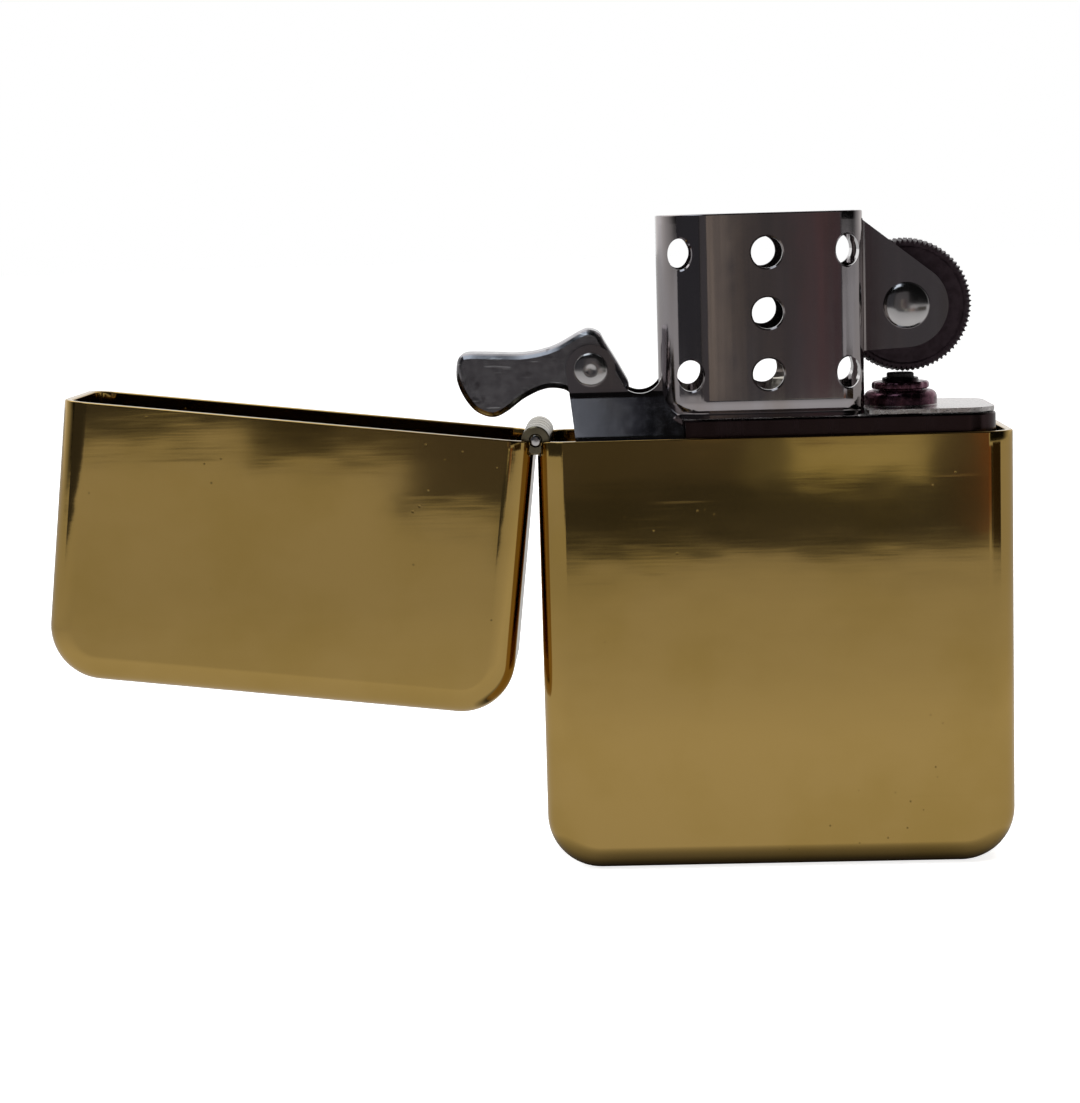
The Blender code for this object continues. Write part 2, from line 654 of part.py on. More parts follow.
def rivet(shank, head_radius, head_height, half_length):
    """Profile of a rivet with a domed head at each end, as (radius, level)."""
    dome = [(head_radius, half_length)]
    for step in range(1, 5):
        angle = math.pi / 2 * step / 5
        rise = head_height * math.sin(angle)
        dome.append((head_radius * math.cos(angle), half_length + rise))
    half = [(shank, half_length)] + dome
    return [(radius, -level) for radius, level in reversed(half)] + half


def make_wheel():
    """The toothed wheel and the rivet that it turns on."""
    outline = []
    for tooth in range(WHEEL_TEETH):
        for part, radius in ((0, WHEEL_RADIUS), (0.45, WHEEL_RADIUS - TOOTH_DEPTH)):
            angle = 2 * math.pi * (tooth + part) / WHEEL_TEETH
            outline.append((WHEEL_X + radius * math.cos(angle), WHEEL_Z + radius * math.sin(angle)))
    origin = (WHEEL_X, 0, WHEEL_Z)
    rim = prism(outline, -WHEEL_WIDTH / 2, WHEEL_WIDTH / 2, "Y")
    wheel = add("flint_wheel", rim, DARK_STEEL, origin)
    bore = AXLE_RADIUS + PIN_FIT
    hole = turned([(bore, -WHEEL_WIDTH), (bore, WHEEL_WIDTH)], 24, "Y", (WHEEL_X, WHEEL_Z))
    combine(wheel, "DIFFERENCE", helper("wheel_bore", hole))
    half = WHEEL_EAR_INNER + SHEET + PLATE_GAP
    profile = rivet(AXLE_RADIUS, AXLE_HEAD_RADIUS, AXLE_HEAD_HEIGHT, half)
    add("wheel_axle", turned(profile, 28, "Y", (WHEEL_X, WHEEL_Z)), CHROME)


def lever_outline():
    """The lever's side view about its pin, anticlockwise from the tip."""
    points = [
        (-10.9, 0.3),
        (-10.85, -0.8),
        (-10.3, -2.1),
        (-9.4, -3.2),
        (-8.1, -3.7),
        (-6.95, -3.3),
        (-5.4, -2.2),
        (-3.7, -1.5),
        (-2.2, -1.6),
        (-1.2, -2.3),
        (0.4, -2.65),
        (2.3, -2.45),
        (3.05, -1.5),
        (2.4, 0.0),
        (1.15, 2.15),
        (0.7, 2.9),
        (-0.1, 3.2),
        (-0.9, 2.98),
        (-3.1, 1.85),
        (-5.4, 1.38),
        (-8.0, 1.45),
        (-10.1, 1.5),
        (-10.7, 1.15),
    ]
    loop = smooth_loop([(x * MM, z * MM) for x, z in points], 3)
    return [(CAM_X + x, CAM_Z + z) for x, z in loop]


def make_cam():
    """The bevelled lever and the rivet that it turns on."""
    mesh = prism(lever_outline(), -CAM_WIDTH / 2, CAM_WIDTH / 2, "Y")
    edges = [edge for edge in mesh.edges if edge.verts[0].co.y == edge.verts[1].co.y]
    bmesh.ops.bevel(mesh, geom=edges, offset=CAM_BEVEL, segments=1, affect="EDGES")
    lever = add("cam_lever", mesh, STEEL, (CAM_X, 0, CAM_Z))
    bore = CAM_PIN_RADIUS + PIN_FIT
    hole = turned([(bore, -CASE_DEPTH), (bore, CASE_DEPTH)], 24, "Y", (CAM_X, CAM_Z))
    combine(lever, "DIFFERENCE", helper("cam_bore", hole))
    half = CAM_EAR_INNER + SHEET + PLATE_GAP
    profile = rivet(CAM_PIN_RADIUS, CAM_HEAD_RADIUS, CAM_HEAD_HEIGHT, half)
    add("cam_pin", turned(profile, 24, "Y", (CAM_X, CAM_Z)), CHROME)


def make_cam_spring():
    """The leaf spring under the cam, riveted to the deck inside the chimney."""
    bottom = DECK_TOP + PLATE_GAP
    right = RIVET_X + SPRING_WIDTH / 2
    bend = RIVET_X - SPRING_WIDTH / 2
    left = CAM_X - SHEET
    rise = SPRING_STRIP / 2
    lower = [(right, bottom), (bend, bottom), (left, bottom + rise)]
    upper = [(x, z + SPRING_STRIP) for x, z in reversed(lower)]
    half = SPRING_WIDTH / 2
    spring = add("cam_spring", prism(lower + upper, -half, half, "Y"), STEEL)
    fit = SPRING_RIVET + PIN_FIT
    hole = turned([(fit, RIM), (fit, RIM + SKIRT_TOP)], 20, "Z", (RIVET_X, 0))
    combine(spring, "DIFFERENCE", helper("spring_hole", hole))
    head = SPRING_RIVET_HEAD
    top = bottom + SPRING_STRIP + PLATE_GAP
    low = DECK_BOTTOM - PLATE_GAP
    profile = [
        (head * 0.9, low - SPRING_STRIP),
        (head, low),
        (SPRING_RIVET, low),
        (SPRING_RIVET, top),
        (head, top),
        (head * 0.8, top + SPRING_STRIP),
        (head * 0.4, top + 1.4 * SPRING_STRIP),
    ]
    add("cam_spring_rivet", turned(profile, 20, "Z", (RIVET_X, 0)), STEEL)


# ---------------------------------------------------------------- flint feed


def make_flint_feed():
    """The tube with its collar, and the flint and its pusher inside."""
    top = COLLAR_BOTTOM + COLLAR_HEIGHT
    profile = [
        (TUBE_BORE, TUBE_BOTTOM),
        (TUBE_OUTER, TUBE_BOTTOM),
        (TUBE_OUTER, COLLAR_BOTTOM),
        (COLLAR_RADIUS, COLLAR_BOTTOM),
        (COLLAR_RADIUS, top - COLLAR_CHAMFER),
        (COLLAR_RADIUS - COLLAR_CHAMFER, top),
        (TUBE_BORE, top),
    ]
    centre = (FLINT_X, 0)
    add("flint_tube", turned(profile, 28, "Z", centre, closed=True), COPPER)
    profile = [(FLINT_RADIUS, FLINT_BOTTOM), (FLINT_RADIUS, FLINT_TOP)]
    add("flint", turned(profile, 20, "Z", centre), FLINT)
    stem = TUBE_BORE / 3
    profile = [
        (stem, TIP_BOTTOM - TIP_STEM),
        (stem, TIP_BOTTOM),
        (FLINT_RADIUS, TIP_BOTTOM),
        (FLINT_RADIUS, TIP_TOP),
    ]
    add("spring_tip", turned(profile, 20, "Z", centre), YELLOW_BRASS)
    make_flint_spring()
    make_flint_screw()


def make_flint_spring():
    """The coil between the screw and the tip, drawn at its working length."""
    coil = TUBE_BORE - SPRING_WIRE - SEAT_GAP
    low = SCREW_TOP + SPRING_WIRE + SEAT_GAP
    high = TIP_BOTTOM - SPRING_WIRE - SEAT_GAP
    per_turn = 12
    count = SPRING_TURNS * per_turn
    curve = bpy.data.curves.new("flint_spring", "CURVE")
    curve.dimensions = "3D"
    curve.bevel_depth = SPRING_WIRE
    curve.bevel_resolution = 1
    curve.use_fill_caps = True
    spline = curve.splines.new("POLY")
    spline.points.add(count)
    for i, point in enumerate(spline.points):
        angle = 2 * math.pi * i / per_turn
        x = FLINT_X + coil * math.cos(angle)
        point.co = (x, coil * math.sin(angle), low + (high - low) * i / count, 1)
    curve.materials.append(STEEL)
    made = bpy.data.objects.new("flint_spring", curve)
    bpy.context.scene.collection.objects.link(made)


def make_flint_screw():
    """The plug that shuts the tube: a slotted head and a plain shank."""
    head_top = SCREW_BOTTOM + SCREW_HEAD_HEIGHT
    profile = [
        (SCREW_HEAD_RADIUS - SCREW_CHAMFER, SCREW_BOTTOM),
        (SCREW_HEAD_RADIUS, SCREW_BOTTOM + SCREW_CHAMFER),
        (SCREW_HEAD_RADIUS, head_top),
        (FLINT_RADIUS, head_top),
        (FLINT_RADIUS, SCREW_TOP - SCREW_CHAMFER),
        (FLINT_RADIUS - SCREW_CHAMFER, SCREW_TOP),
    ]
    mesh = turned(profile, 28, "Z", (FLINT_X, 0))
    screw = add("flint_screw", mesh, YELLOW_BRASS, (FLINT_X, 0, SCREW_BOTTOM))
    x = (FLINT_X - SCREW_SLOT_WIDTH / 2, FLINT_X + SCREW_SLOT_WIDTH / 2)
    y = (-2 * SCREW_HEAD_RADIUS, 2 * SCREW_HEAD_RADIUS)
    slot = box(x, y, (SCREW_BOTTOM - SCREW_SLOT_DEPTH, SCREW_BOTTOM + SCREW_SLOT_DEPTH))
    combine(screw, "DIFFERENCE", helper("screw_slot", slot))


# ---------------------------------------------------------------- wick, wadding, felt


def soft_outline(left, right):
    """Plan of a piece of filling that keeps clear of the tank's walls."""
    half = INNER_HALF_DEPTH - SOFT_GAP
    radius = TANK_CORNER - TANK_WALL - SOFT_GAP
    return rounded_box(left, right, half, radius, radius, 4)


def make_filling():
    """A felt pad, then wads of cotton with the wick woven between them."""
    left = SOFT_GAP - INNER_HALF_WIDTH
    right = INNER_HALF_WIDTH - SOFT_GAP
    tube_side = FLINT_X - TUBE_OUTER - SOFT_GAP
    felt_bottom = TANK_BOTTOM + SOFT_GAP
    felt_top = felt_bottom + FELT_THICKNESS
    felt = add("felt_pad", prism(soft_outline(left, right), felt_bottom, felt_top), FELT)
    clear = SCREW_HEAD_RADIUS + SOFT_GAP
    hole = turned([(clear, 0), (clear, felt_top + SOFT_GAP)], 24, "Z", (FLINT_X, 0))
    combine(felt, "DIFFERENCE", helper("felt_hole", hole))

    clear = WICK_RADIUS + SOFT_GAP
    low = felt_top + SOFT_GAP
    high = RIM - TANK_LEFT_DROP - DECK_THICKNESS - SEAT_GAP - SOFT_GAP
    wad_height = (high - low - 2 * clear * (WADS - 1)) / WADS
    floors = [low + i * (wad_height + 2 * clear) for i in range(WADS)]
    runs = [floor - clear for floor in floors[1:]]
    far_right = tube_side - clear
    far_left = left + WICK_RADIUS + WICK_BEND
    spans = (
        (left, tube_side, floors[0], floors[0] + wad_height),
        (left, far_right - clear, floors[1], floors[1] + wad_height),
        (far_left + clear, tube_side, floors[2], floors[2] + wad_height),
        (left, WICK_X - clear, floors[3], floors[3] + wad_height),
    )
    for number, (low_x, high_x, low_z, high_z) in enumerate(spans, 1):
        mesh = prism(soft_outline(low_x, high_x), low_z, high_z)
        add(f"cotton_wad_{number}", mesh, COTTON)

    route = [
        (far_left, 0, runs[0]),
        (far_right, 0, runs[0]),
        (far_right, 0, runs[1]),
        (far_left, 0, runs[1]),
        (far_left, 0, runs[2]),
        (WICK_X, 0, runs[2]),
        (WICK_X, 0, RIM + WICK_TOP),
    ]
    curve = bpy.data.curves.new("wick", "CURVE")
    curve.dimensions = "3D"
    curve.bevel_depth = WICK_RADIUS
    curve.bevel_resolution = 4
    curve.use_fill_caps = True
    path = rounded_path(route, WICK_BEND)
    spline = curve.splines.new("POLY")
    spline.points.add(len(path) - 1)
    for point, place in zip(spline.points, path):
        point.co = (*place, 1)
    curve.materials.append(COTTON)
    made = bpy.data.objects.new("wick", curve)
    bpy.context.scene.collection.objects.link(made)


# ---------------------------------------------------------------- the whole object

for item in list(bpy.data.objects):
    bpy.data.objects.remove(item, do_unlink=True)

HELPER = material("helper", (0.8, 0.2, 0.2), 0.5, 0.0)
BRASS = material("polished_brass", (0.50, 0.35, 0.10), 0.15, 1.0)
CHROME = material("bright_steel", (0.45, 0.44, 0.45), 0.15, 1.0)
STEEL = material("steel", (0.42, 0.40, 0.40), 0.3, 1.0)
DARK_STEEL = material("hardened_steel", (0.03, 0.025, 0.03), 0.45, 0.8)
COPPER = material("plum_copper", (0.22, 0.06, 0.10), 0.35, 1.0)
YELLOW_BRASS = material("yellow_brass", (0.60, 0.45, 0.16), 0.3, 1.0)
FLINT = material("flint", (0.03, 0.03, 0.03), 0.7, 0.3)
COTTON = material("cotton", (0.75, 0.72, 0.65), 0.95, 0.0)
FELT = material("felt", (0.85, 0.83, 0.78), 1.0, 0.0)

lid_pivot = bpy.data.objects.new("lid_pivot", None)
bpy.context.scene.collection.objects.link(lid_pivot)
lid_pivot.location = (HINGE_X, 0, HINGE_Z)
lid_pivot.rotation_euler = (0, -LID_OPEN_ANGLE, 0)

make_case()
make_lid(lid_pivot)
make_hinge(lid_pivot)
make_tank()
make_deck()
make_flint_plate()
make_chimney()
make_wheel()
make_cam()
make_cam_spring()
make_flint_feed()
make_filling()
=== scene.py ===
"""The looks of the flip-top lighter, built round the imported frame.

Each piece but the tank's top deck is a finer mesh than the frame's, with rolled edges,
knurling, coils and braid, and rides on the frame's bodies. Sizes are in metres.
"""

import json
from math import acos, atan2, cos, degrees, hypot, pi, radians, sin, sqrt

import bmesh
import bpy
from mathutils import Matrix, Vector, noise


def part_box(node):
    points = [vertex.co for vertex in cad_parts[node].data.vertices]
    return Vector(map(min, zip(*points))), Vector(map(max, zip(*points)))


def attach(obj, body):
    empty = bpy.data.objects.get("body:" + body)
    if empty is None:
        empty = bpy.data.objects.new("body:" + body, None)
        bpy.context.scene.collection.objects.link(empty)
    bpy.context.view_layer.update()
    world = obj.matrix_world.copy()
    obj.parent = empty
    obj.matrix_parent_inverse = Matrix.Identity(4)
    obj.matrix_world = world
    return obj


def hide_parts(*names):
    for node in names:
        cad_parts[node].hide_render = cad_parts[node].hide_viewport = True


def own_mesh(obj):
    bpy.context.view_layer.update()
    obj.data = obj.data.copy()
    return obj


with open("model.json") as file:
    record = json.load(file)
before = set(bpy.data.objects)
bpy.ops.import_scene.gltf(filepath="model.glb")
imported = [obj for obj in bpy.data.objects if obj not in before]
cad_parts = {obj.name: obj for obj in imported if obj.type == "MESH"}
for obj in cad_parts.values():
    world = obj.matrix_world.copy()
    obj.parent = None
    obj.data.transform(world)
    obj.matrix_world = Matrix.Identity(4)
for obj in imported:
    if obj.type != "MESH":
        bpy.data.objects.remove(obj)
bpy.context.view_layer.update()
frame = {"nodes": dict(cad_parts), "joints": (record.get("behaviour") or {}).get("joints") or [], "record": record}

MM = 0.001

# Sizes that the frame's boxes don't give
WALL = 0.6 * MM
CASE_CORNER = 4.4 * MM
CASE_EDGE = 2.2 * MM
LID_HEIGHT = 22.6 * MM
HALF_RIM_GAP = 0.08 * MM
LIP = 0.12 * MM  # rolled edge of a cut sheet
SHEET = 0.5 * MM
TANK_WALL = 0.4 * MM
TANK_CORNER = 2.5 * MM
PIN_RADIUS = 0.5 * MM
BARREL_RADIUS = 1.15 * MM
LEAF_THICKNESS = 0.28 * MM
LEAF_REACH = 8.5 * MM
LEAF_HALF = 4.1 * MM
LEAF_CORNER = 0.5 * MM
NOTCH_REACH = BARREL_RADIUS + 0.15 * MM
KNUCKLES = 5
KNUCKLE_GAP = 0.08 * MM
SEAT_GAP = 0.1 * MM
PLATE_GAP = 0.04 * MM
CHIMNEY_LEFT_RADIUS = 4.0 * MM
CHIMNEY_RIGHT_RADIUS = 1.9 * MM
CHIMNEY_INSET = 0.3 * MM
SKIRT = (  # (height above the rim, how far the wall stands out)
    (1.5 * MM, 0.3 * MM),
    (1.62 * MM, 0.04 * MM),
    (1.8 * MM, -0.3 * MM),
    (2.05 * MM, -0.22 * MM),
    (2.35 * MM, -0.1 * MM),
    (2.65 * MM, -0.02 * MM),
    (2.9 * MM, 0.0),
)
HOLE_RADIUS = 1.24 * MM
HOLE_ROWS = (4.9 * MM, 9.75 * MM, 14.55 * MM)
EAR_RADIUS = 3.35 * MM
EAR_FOOT = 6.4 * MM
STAND_EAR_RADIUS = 2.0 * MM
STAND_LEAN = 0.75 * MM
FLARE_TOP = 3.4 * MM
FLARE_FOOT = -0.25 * MM
LEVER_BEVEL = 0.42 * MM
LEVER_EDGE = ((1.0, 0.0), (0.6, 0.24), (0.24, 0.6), (0.0, 1.0))  # (inset, sunk), shares of the bevel
NOTCH_RADIUS = 1.83 * MM
NOTCH_HEIGHT = 5.3 * MM
BOSS_RADIUS = 2.95 * MM
BOSS_EDGE = 0.6 * MM
PLATE_THICKNESS = 0.35 * MM
COLLAR_HEIGHT = 0.9 * MM
TUBE_OUTER = 1.75 * MM
TUBE_BORE = 1.25 * MM
WICK_RADIUS = 1.5 * MM
WICK_BEND = 2.6 * MM
WHEEL_BORE = 0.8 * MM
CAM_BORE = 0.75 * MM
FELT_HOLE = 2.5 * MM
SOFT_SPACING = 0.9 * MM  # mesh size of the fillings

# Places read from the frame
JOINTS = {joint["name"]: joint for joint in frame["joints"]}
HINGE, CAM, WHEEL, FLINT = (
    Vector(JOINTS[name]["pos_m"]) for name in ("lid_hinge", "cam_pivot", "wheel_spin", "screw_turn")
)
LID_RANGE = -JOINTS["lid_hinge"]["range_deg"][0]
CASE_LOW, CASE_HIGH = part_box("case_shell")
RIM = CASE_HIGH.z
HALF_WIDTH = CASE_HIGH.x
HALF_DEPTH = CASE_HIGH.y
TANK_LOW, TANK_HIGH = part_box("fuel_tank")
CHIMNEY_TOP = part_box("chimney")[1].z
CHIMNEY_LEFT = CAM.x + 5.48 * MM
CHIMNEY_RIGHT = WHEEL.x - 3.55 * MM
CHIMNEY_HALF = TANK_HIGH.y - CHIMNEY_INSET
STAND_RIGHT = CHIMNEY_LEFT + CHIMNEY_LEFT_RADIUS / 2
WHEEL_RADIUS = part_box("flint_wheel")[1].x - WHEEL.x
WHEEL_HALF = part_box("flint_wheel")[1].y
CAM_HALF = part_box("cam_lever")[1].y
WHEEL_EAR = WHEEL_HALF + 0.2 * MM
CAM_EAR = CAM_HALF + 0.2 * MM
PLATE_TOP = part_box("flint_plate")[0].z + PLATE_THICKNESS
NECK = 0.3 * MM
NECK_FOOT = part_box("flint_tube")[1].z - NECK


# ---- drawing helpers


def arc(cx, cy, radius, start, end, steps):
    """Points on an arc, both ends included, angles in degrees."""
    points = []
    for i in range(steps + 1):
        angle = radians(start + (end - start) * i / steps)
        points.append((cx + radius * cos(angle), cy + radius * sin(angle)))
    return points


def rectangle(one, two):
    """The corners of the box between two pairs of limits, anticlockwise."""
    return [(one[0], two[0]), (one[1], two[0]), (one[1], two[1]), (one[0], two[1])]


def rounded_box(left, right, half, left_radius, right_radius, steps=12):
    outline = arc(right - right_radius, right_radius - half, right_radius, -90, 0, steps)
    outline += arc(right - right_radius, half - right_radius, right_radius, 0, 90, steps)
    outline += arc(left + left_radius, half - left_radius, left_radius, 90, 180, steps)
    outline += arc(left + left_radius, left_radius - half, left_radius, 180, 270, steps)
    return outline


def stretch(four, steps):
    """Points on the Catmull-Rom curve between the middle two of four points."""
    a, b, c, d = (Vector(point) for point in four)
    line = []
    for j in range(steps):
        t = j / steps
        pull = (c - a) * t + (2 * a - 5 * b + 4 * c - d) * t**2
        line.append(tuple(b + (pull + (3 * b - a - 3 * c + d) * t**3) / 2))
    return line


def smooth_loop(points, steps):
    """A closed smooth curve through the points."""
    loop = []
    for i in range(len(points)):
        loop += stretch([points[(i + k) % len(points)] for k in (-1, 0, 1, 2)], steps)
    return loop


def eased(points, steps):
    """The open line through the points, with more points along each stretch."""
    last = len(points) - 1
    line = []
    for i in range(last):
        line += stretch([points[min(max(i + k, 0), last)] for k in (-1, 0, 1, 2)], steps)
    return line + [tuple(points[-1])]


def inset_loop(loop, distance):
    """The anticlockwise loop moved inwards by a distance."""
    moved = []
    for i, point in enumerate(loop):
        along = (Vector(loop[(i + 1) % len(loop)]) - Vector(loop[i - 1])).normalized()
        moved.append((point[0] - along.y * distance, point[1] + along.x * distance))
    return moved


def to_space(point, level, axis):
    if axis == "X":
        return (level, point[0], point[1])
    if axis == "Y":
        return (point[0], level, point[1])
    return (point[0], point[1], level)


def stitch(mesh, rings, around=True):
    """Faces between each ring of vertices and the next, all the way around unless told not to."""
    for one, two in zip(rings, rings[1:]):
        for i in range(len(one) if around else len(one) - 1):
            j = (i + 1) % len(one)
            mesh.faces.new((one[i], one[j], two[j], two[i]))


def loft(rings, closed=False):
    """A solid skinned over rings of equal length, capped unless it closes on itself."""
    mesh = bmesh.new()
    rows = [[mesh.verts.new(point) for point in ring] for ring in rings]
    if closed:
        rows.append(rows[0])
    else:
        mesh.faces.new(rows[0])
        mesh.faces.new(rows[-1])
    stitch(mesh, rows)
    return mesh


def prism(outline, low, high, axis="Z", bevel=0.0, segments=3):
    """A solid of the outline between two levels, its end edges rounded by bevel."""
    mesh = loft([[to_space(p, level, axis) for p in outline] for level in (low, high)])
    if bevel:
        index = "XYZ".index(axis)
        rim = [e for e in mesh.edges if abs(e.verts[0].co[index] - e.verts[1].co[index]) < 1e-9]
        bmesh.ops.bevel(mesh, geom=rim, offset=bevel, segments=segments, affect="EDGES", profile=0.5)
    return mesh


def box(x, y, z):
    return prism(rectangle(x, y), z[0], z[1])


def mirrored(half):
    """A turned profile on both sides of level 0, from its half above it."""
    return [(radius, -level) for radius, level in half[:0:-1]] + half[1:]


def turned(profile, segments=64, axis="Z", centre=(0, 0), closed=False):
    """A turned solid: (radius, level) points spun round an axis through centre."""
    rings = []
    for radius, level in profile:
        ring = []
        for i in range(segments):
            angle = 2 * pi * i / segments
            point = (centre[0] + radius * cos(angle), centre[1] + radius * sin(angle))
            ring.append(to_space(point, level, axis))
        rings.append(ring)
    return loft(rings, closed)


def cup(half_width, half_depth, height, corner, edge, wall):
    """An open-topped drawn shell standing on z = 0, with a rolled lip."""
    corner_steps, edge_steps, lip_steps, rows = 22, 14, 4, 26
    middle = half_width - corner

    def chain(shrink, top):
        fall = (corner - top) / rows
        points = [(shrink - half_width, top + fall * i) for i in range(rows)]
        points += arc(-middle, corner, corner - shrink, 180, 270, corner_steps)
        points += [(-middle + 2 * middle * i / rows, shrink) for i in range(1, rows)]
        points += arc(middle, corner, corner - shrink, 270, 360, corner_steps)
        return points + [(half_width - shrink, corner - fall * i) for i in range(1, rows + 1)]

    def skin(inset, top):
        """Lines of points down, under and up the shell, from its front face to its back one."""
        chains = []
        for side in (-1, 1):
            for step in range(edge_steps + 1):
                turn = step if side < 0 else edge_steps - step
                angle = pi / 2 * turn / edge_steps
                shrink = inset + (edge - inset) * (1 - sin(angle))
                y = side * (half_depth - edge + (edge - inset) * cos(angle))
                chains.append([(x, y, z) for x, z in chain(shrink, top)])
        return chains

    def rim_of(chains):
        return [one[0] for one in chains] + [one[-1] for one in reversed(chains)]

    mesh = bmesh.new()
    rims = []
    for inset in (0, wall):
        chains = [[mesh.verts.new(p) for p in one] for one in skin(inset, height - LIP)]
        mesh.faces.new(chains[0])
        mesh.faces.new(chains[-1])
        stitch(mesh, chains, around=False)
        rims.append(rim_of(chains))
    roll = arc(0, height - LIP, LIP, 0, 90, lip_steps)[1:]
    lip = [(LIP - x, z) for x, z in roll] + [(wall - LIP + x, z) for x, z in reversed(roll)]
    for inset, top in lip:
        rims.insert(-1, [mesh.verts.new(point) for point in rim_of(skin(inset, top))])
    stitch(mesh, rims)
    return mesh


def sweep(path, radius_at, sides):
    """A capped tube along a path; radius_at(distance, angle) gives its surface."""
    rings = []
    travelled = 0.0
    across = Vector((0, 1, 0))
    for i, point in enumerate(path):
        along = (path[min(i + 1, len(path) - 1)] - path[max(i - 1, 0)]).normalized()
        across = (across - along * across.dot(along)).normalized()
        other = along.cross(across)
        if i:
            travelled += (point - path[i - 1]).length
        ring = []
        for k in range(sides):
            angle = 2 * pi * k / sides
            radius = radius_at(travelled, angle)
            ring.append(point + (across * cos(angle) + other * sin(angle)) * radius)
        rings.append(ring)
    return loft(rings)


# ---- objects and booleans


def add_object(name, data):
    made = bpy.data.objects.new(name, data)
    bpy.context.scene.collection.objects.link(made)
    return made


def link(name, mesh, smooth=35):
    bmesh.ops.recalc_face_normals(mesh, faces=mesh.faces)
    data = bpy.data.meshes.new(name)
    mesh.to_mesh(data)
    mesh.free()
    data.shade_smooth()
    data.set_sharp_from_angle(angle=radians(smooth))
    return add_object(name, data)


def apply_modifiers(made):
    graph = bpy.context.evaluated_depsgraph_get()
    result = bpy.data.meshes.new_from_object(made.evaluated_get(graph))
    made.modifiers.clear()
    made.data = result


def boolean(target, operation, mesh):
    """Cuts or joins a mesh at once, and removes the tool."""
    tool = link("tool", mesh)
    modifier = target.modifiers.new("boolean", "BOOLEAN")
    modifier.operation = operation
    modifier.object = tool
    apply_modifiers(target)
    bpy.data.objects.remove(tool, do_unlink=True)


def cut(target, mesh):
    boolean(target, "DIFFERENCE", mesh)


def merge(target, other):
    """Joins another object into the target, and removes it."""
    mesh = bmesh.new()
    mesh.from_mesh(other.data)
    bpy.data.objects.remove(other, do_unlink=True)
    boolean(target, "UNION", mesh)


def bore(target, radius, centre, segments=48, axis="Y", ends=(-HALF_DEPTH, HALF_DEPTH)):
    """Drills a round hole between two levels of an axis."""
    cut(target, turned([(radius, end) for end in ends], segments, axis, centre))


def finish_piece(made, node, finish, smooth=35):
    """Gives a piece its material, smooth shading and body, and hides the frame node that it stands for."""
    made.data.materials.clear()
    made.data.materials.append(finish)
    made.data.shade_smooth()
    made.data.set_sharp_from_angle(angle=radians(smooth))
    made.modifiers.new("flat_faces", "WEIGHTED_NORMAL").keep_sharp = True
    apply_modifiers(made)
    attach(made, body_of(node))
    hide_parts(node)


def add_piece(name, mesh, node, finish, smooth=35):
    """A piece that needs no further cutting."""
    made = link(name, mesh, smooth)
    finish_piece(made, node, finish, smooth)
    return made


def body_of(node):
    bodies = frame["record"]["behaviour"]["bodies"]
    return next(body for body, members in bodies.items() if node in members)


# ---- materials


def fill(tree, socket, value):
    """Puts a number, a colour or another node's output into a socket."""
    if isinstance(value, (int, float)):
        socket.default_value = value
    elif isinstance(value, tuple):
        socket.default_value = (*value, 1)
    else:
        tree.links.new(value, socket)


def new_node(tree, kind, values):
    node = tree.nodes.new("ShaderNode" + kind)
    for name, value in values.items():
        fill(tree, node.inputs[name], value)
    return node


def math_node(tree, operation, one, two=0.0):
    node = tree.nodes.new("ShaderNodeMath")
    node.operation = operation
    for socket, value in zip(node.inputs, (one, two)):
        fill(tree, socket, value)
    return node.outputs["Value"]


def mix_node(tree, factor, one, two):
    node = tree.nodes.new("ShaderNodeMix")
    node.data_type = "RGBA"
    for name, value in (("Factor", factor), ("A", one), ("B", two)):
        fill(tree, node.inputs[name], value)
    return node.outputs["Result"]


def place_in(tree, kind="Object"):
    """The X, Y and Z outputs for the point that is being coloured."""
    place = tree.nodes.new("ShaderNodeTexCoord").outputs[kind]
    return new_node(tree, "SeparateXYZ", {"Vector": place}).outputs


class Paint:
    """Short calls for building one node material."""

    def __init__(self, name, colour, metallic, roughness):
        self.made = bpy.data.materials.new(name)
        self.made.use_nodes = True
        self.tree = self.made.node_tree
        self.shader = self.tree.nodes["Principled BSDF"]
        for socket, value in (("Base Color", colour), ("Metallic", metallic), ("Roughness", roughness)):
            fill(self.tree, self.shader.inputs[socket], value)
        self.place = self.tree.nodes.new("ShaderNodeTexCoord").outputs["Object"]
        self.height = None

    def stretched(self, scale):
        mapping = new_node(self.tree, "Mapping", {"Vector": self.place})
        mapping.inputs["Scale"].default_value = scale
        return mapping.outputs["Vector"]

    def noise(self, scale, size, detail=3.0, roughness=0.5):
        values = {"Scale": size, "Detail": detail, "Roughness": roughness, "Vector": self.stretched(scale)}
        return new_node(self.tree, "TexNoise", values).outputs["Fac"]

    def spots(self, scale, size):
        values = {"Scale": size, "Vector": self.stretched(scale)}
        return new_node(self.tree, "TexVoronoi", values).outputs["Distance"]

    def ramp(self, value, low, high, start=0.0, end=1.0):
        values = {"From Min": low, "From Max": high, "To Min": start, "To Max": end, "Value": value}
        made = new_node(self.tree, "MapRange", values)
        made.interpolation_type = "SMOOTHSTEP"
        return made.outputs["Result"]

    def math(self, operation, one, two):
        return math_node(self.tree, operation, one, two)

    def mix(self, factor, one, two):
        return mix_node(self.tree, factor, one, two)

    def colour(self, value):
        fill(self.tree, self.shader.inputs["Base Color"], value)

    def roughness(self, value):
        fill(self.tree, self.shader.inputs["Roughness"], value)

    def bump(self, value, depth):
        """Adds a layer of relief, depth in metres."""
        made = new_node(self.tree, "Bump", {"Strength": 1.0, "Distance": depth, "Height": value})
        if self.height is not None:
            fill(self.tree, made.inputs["Normal"], self.height)
        self.height = made.outputs["Normal"]
        fill(self.tree, self.shader.inputs["Normal"], self.height)


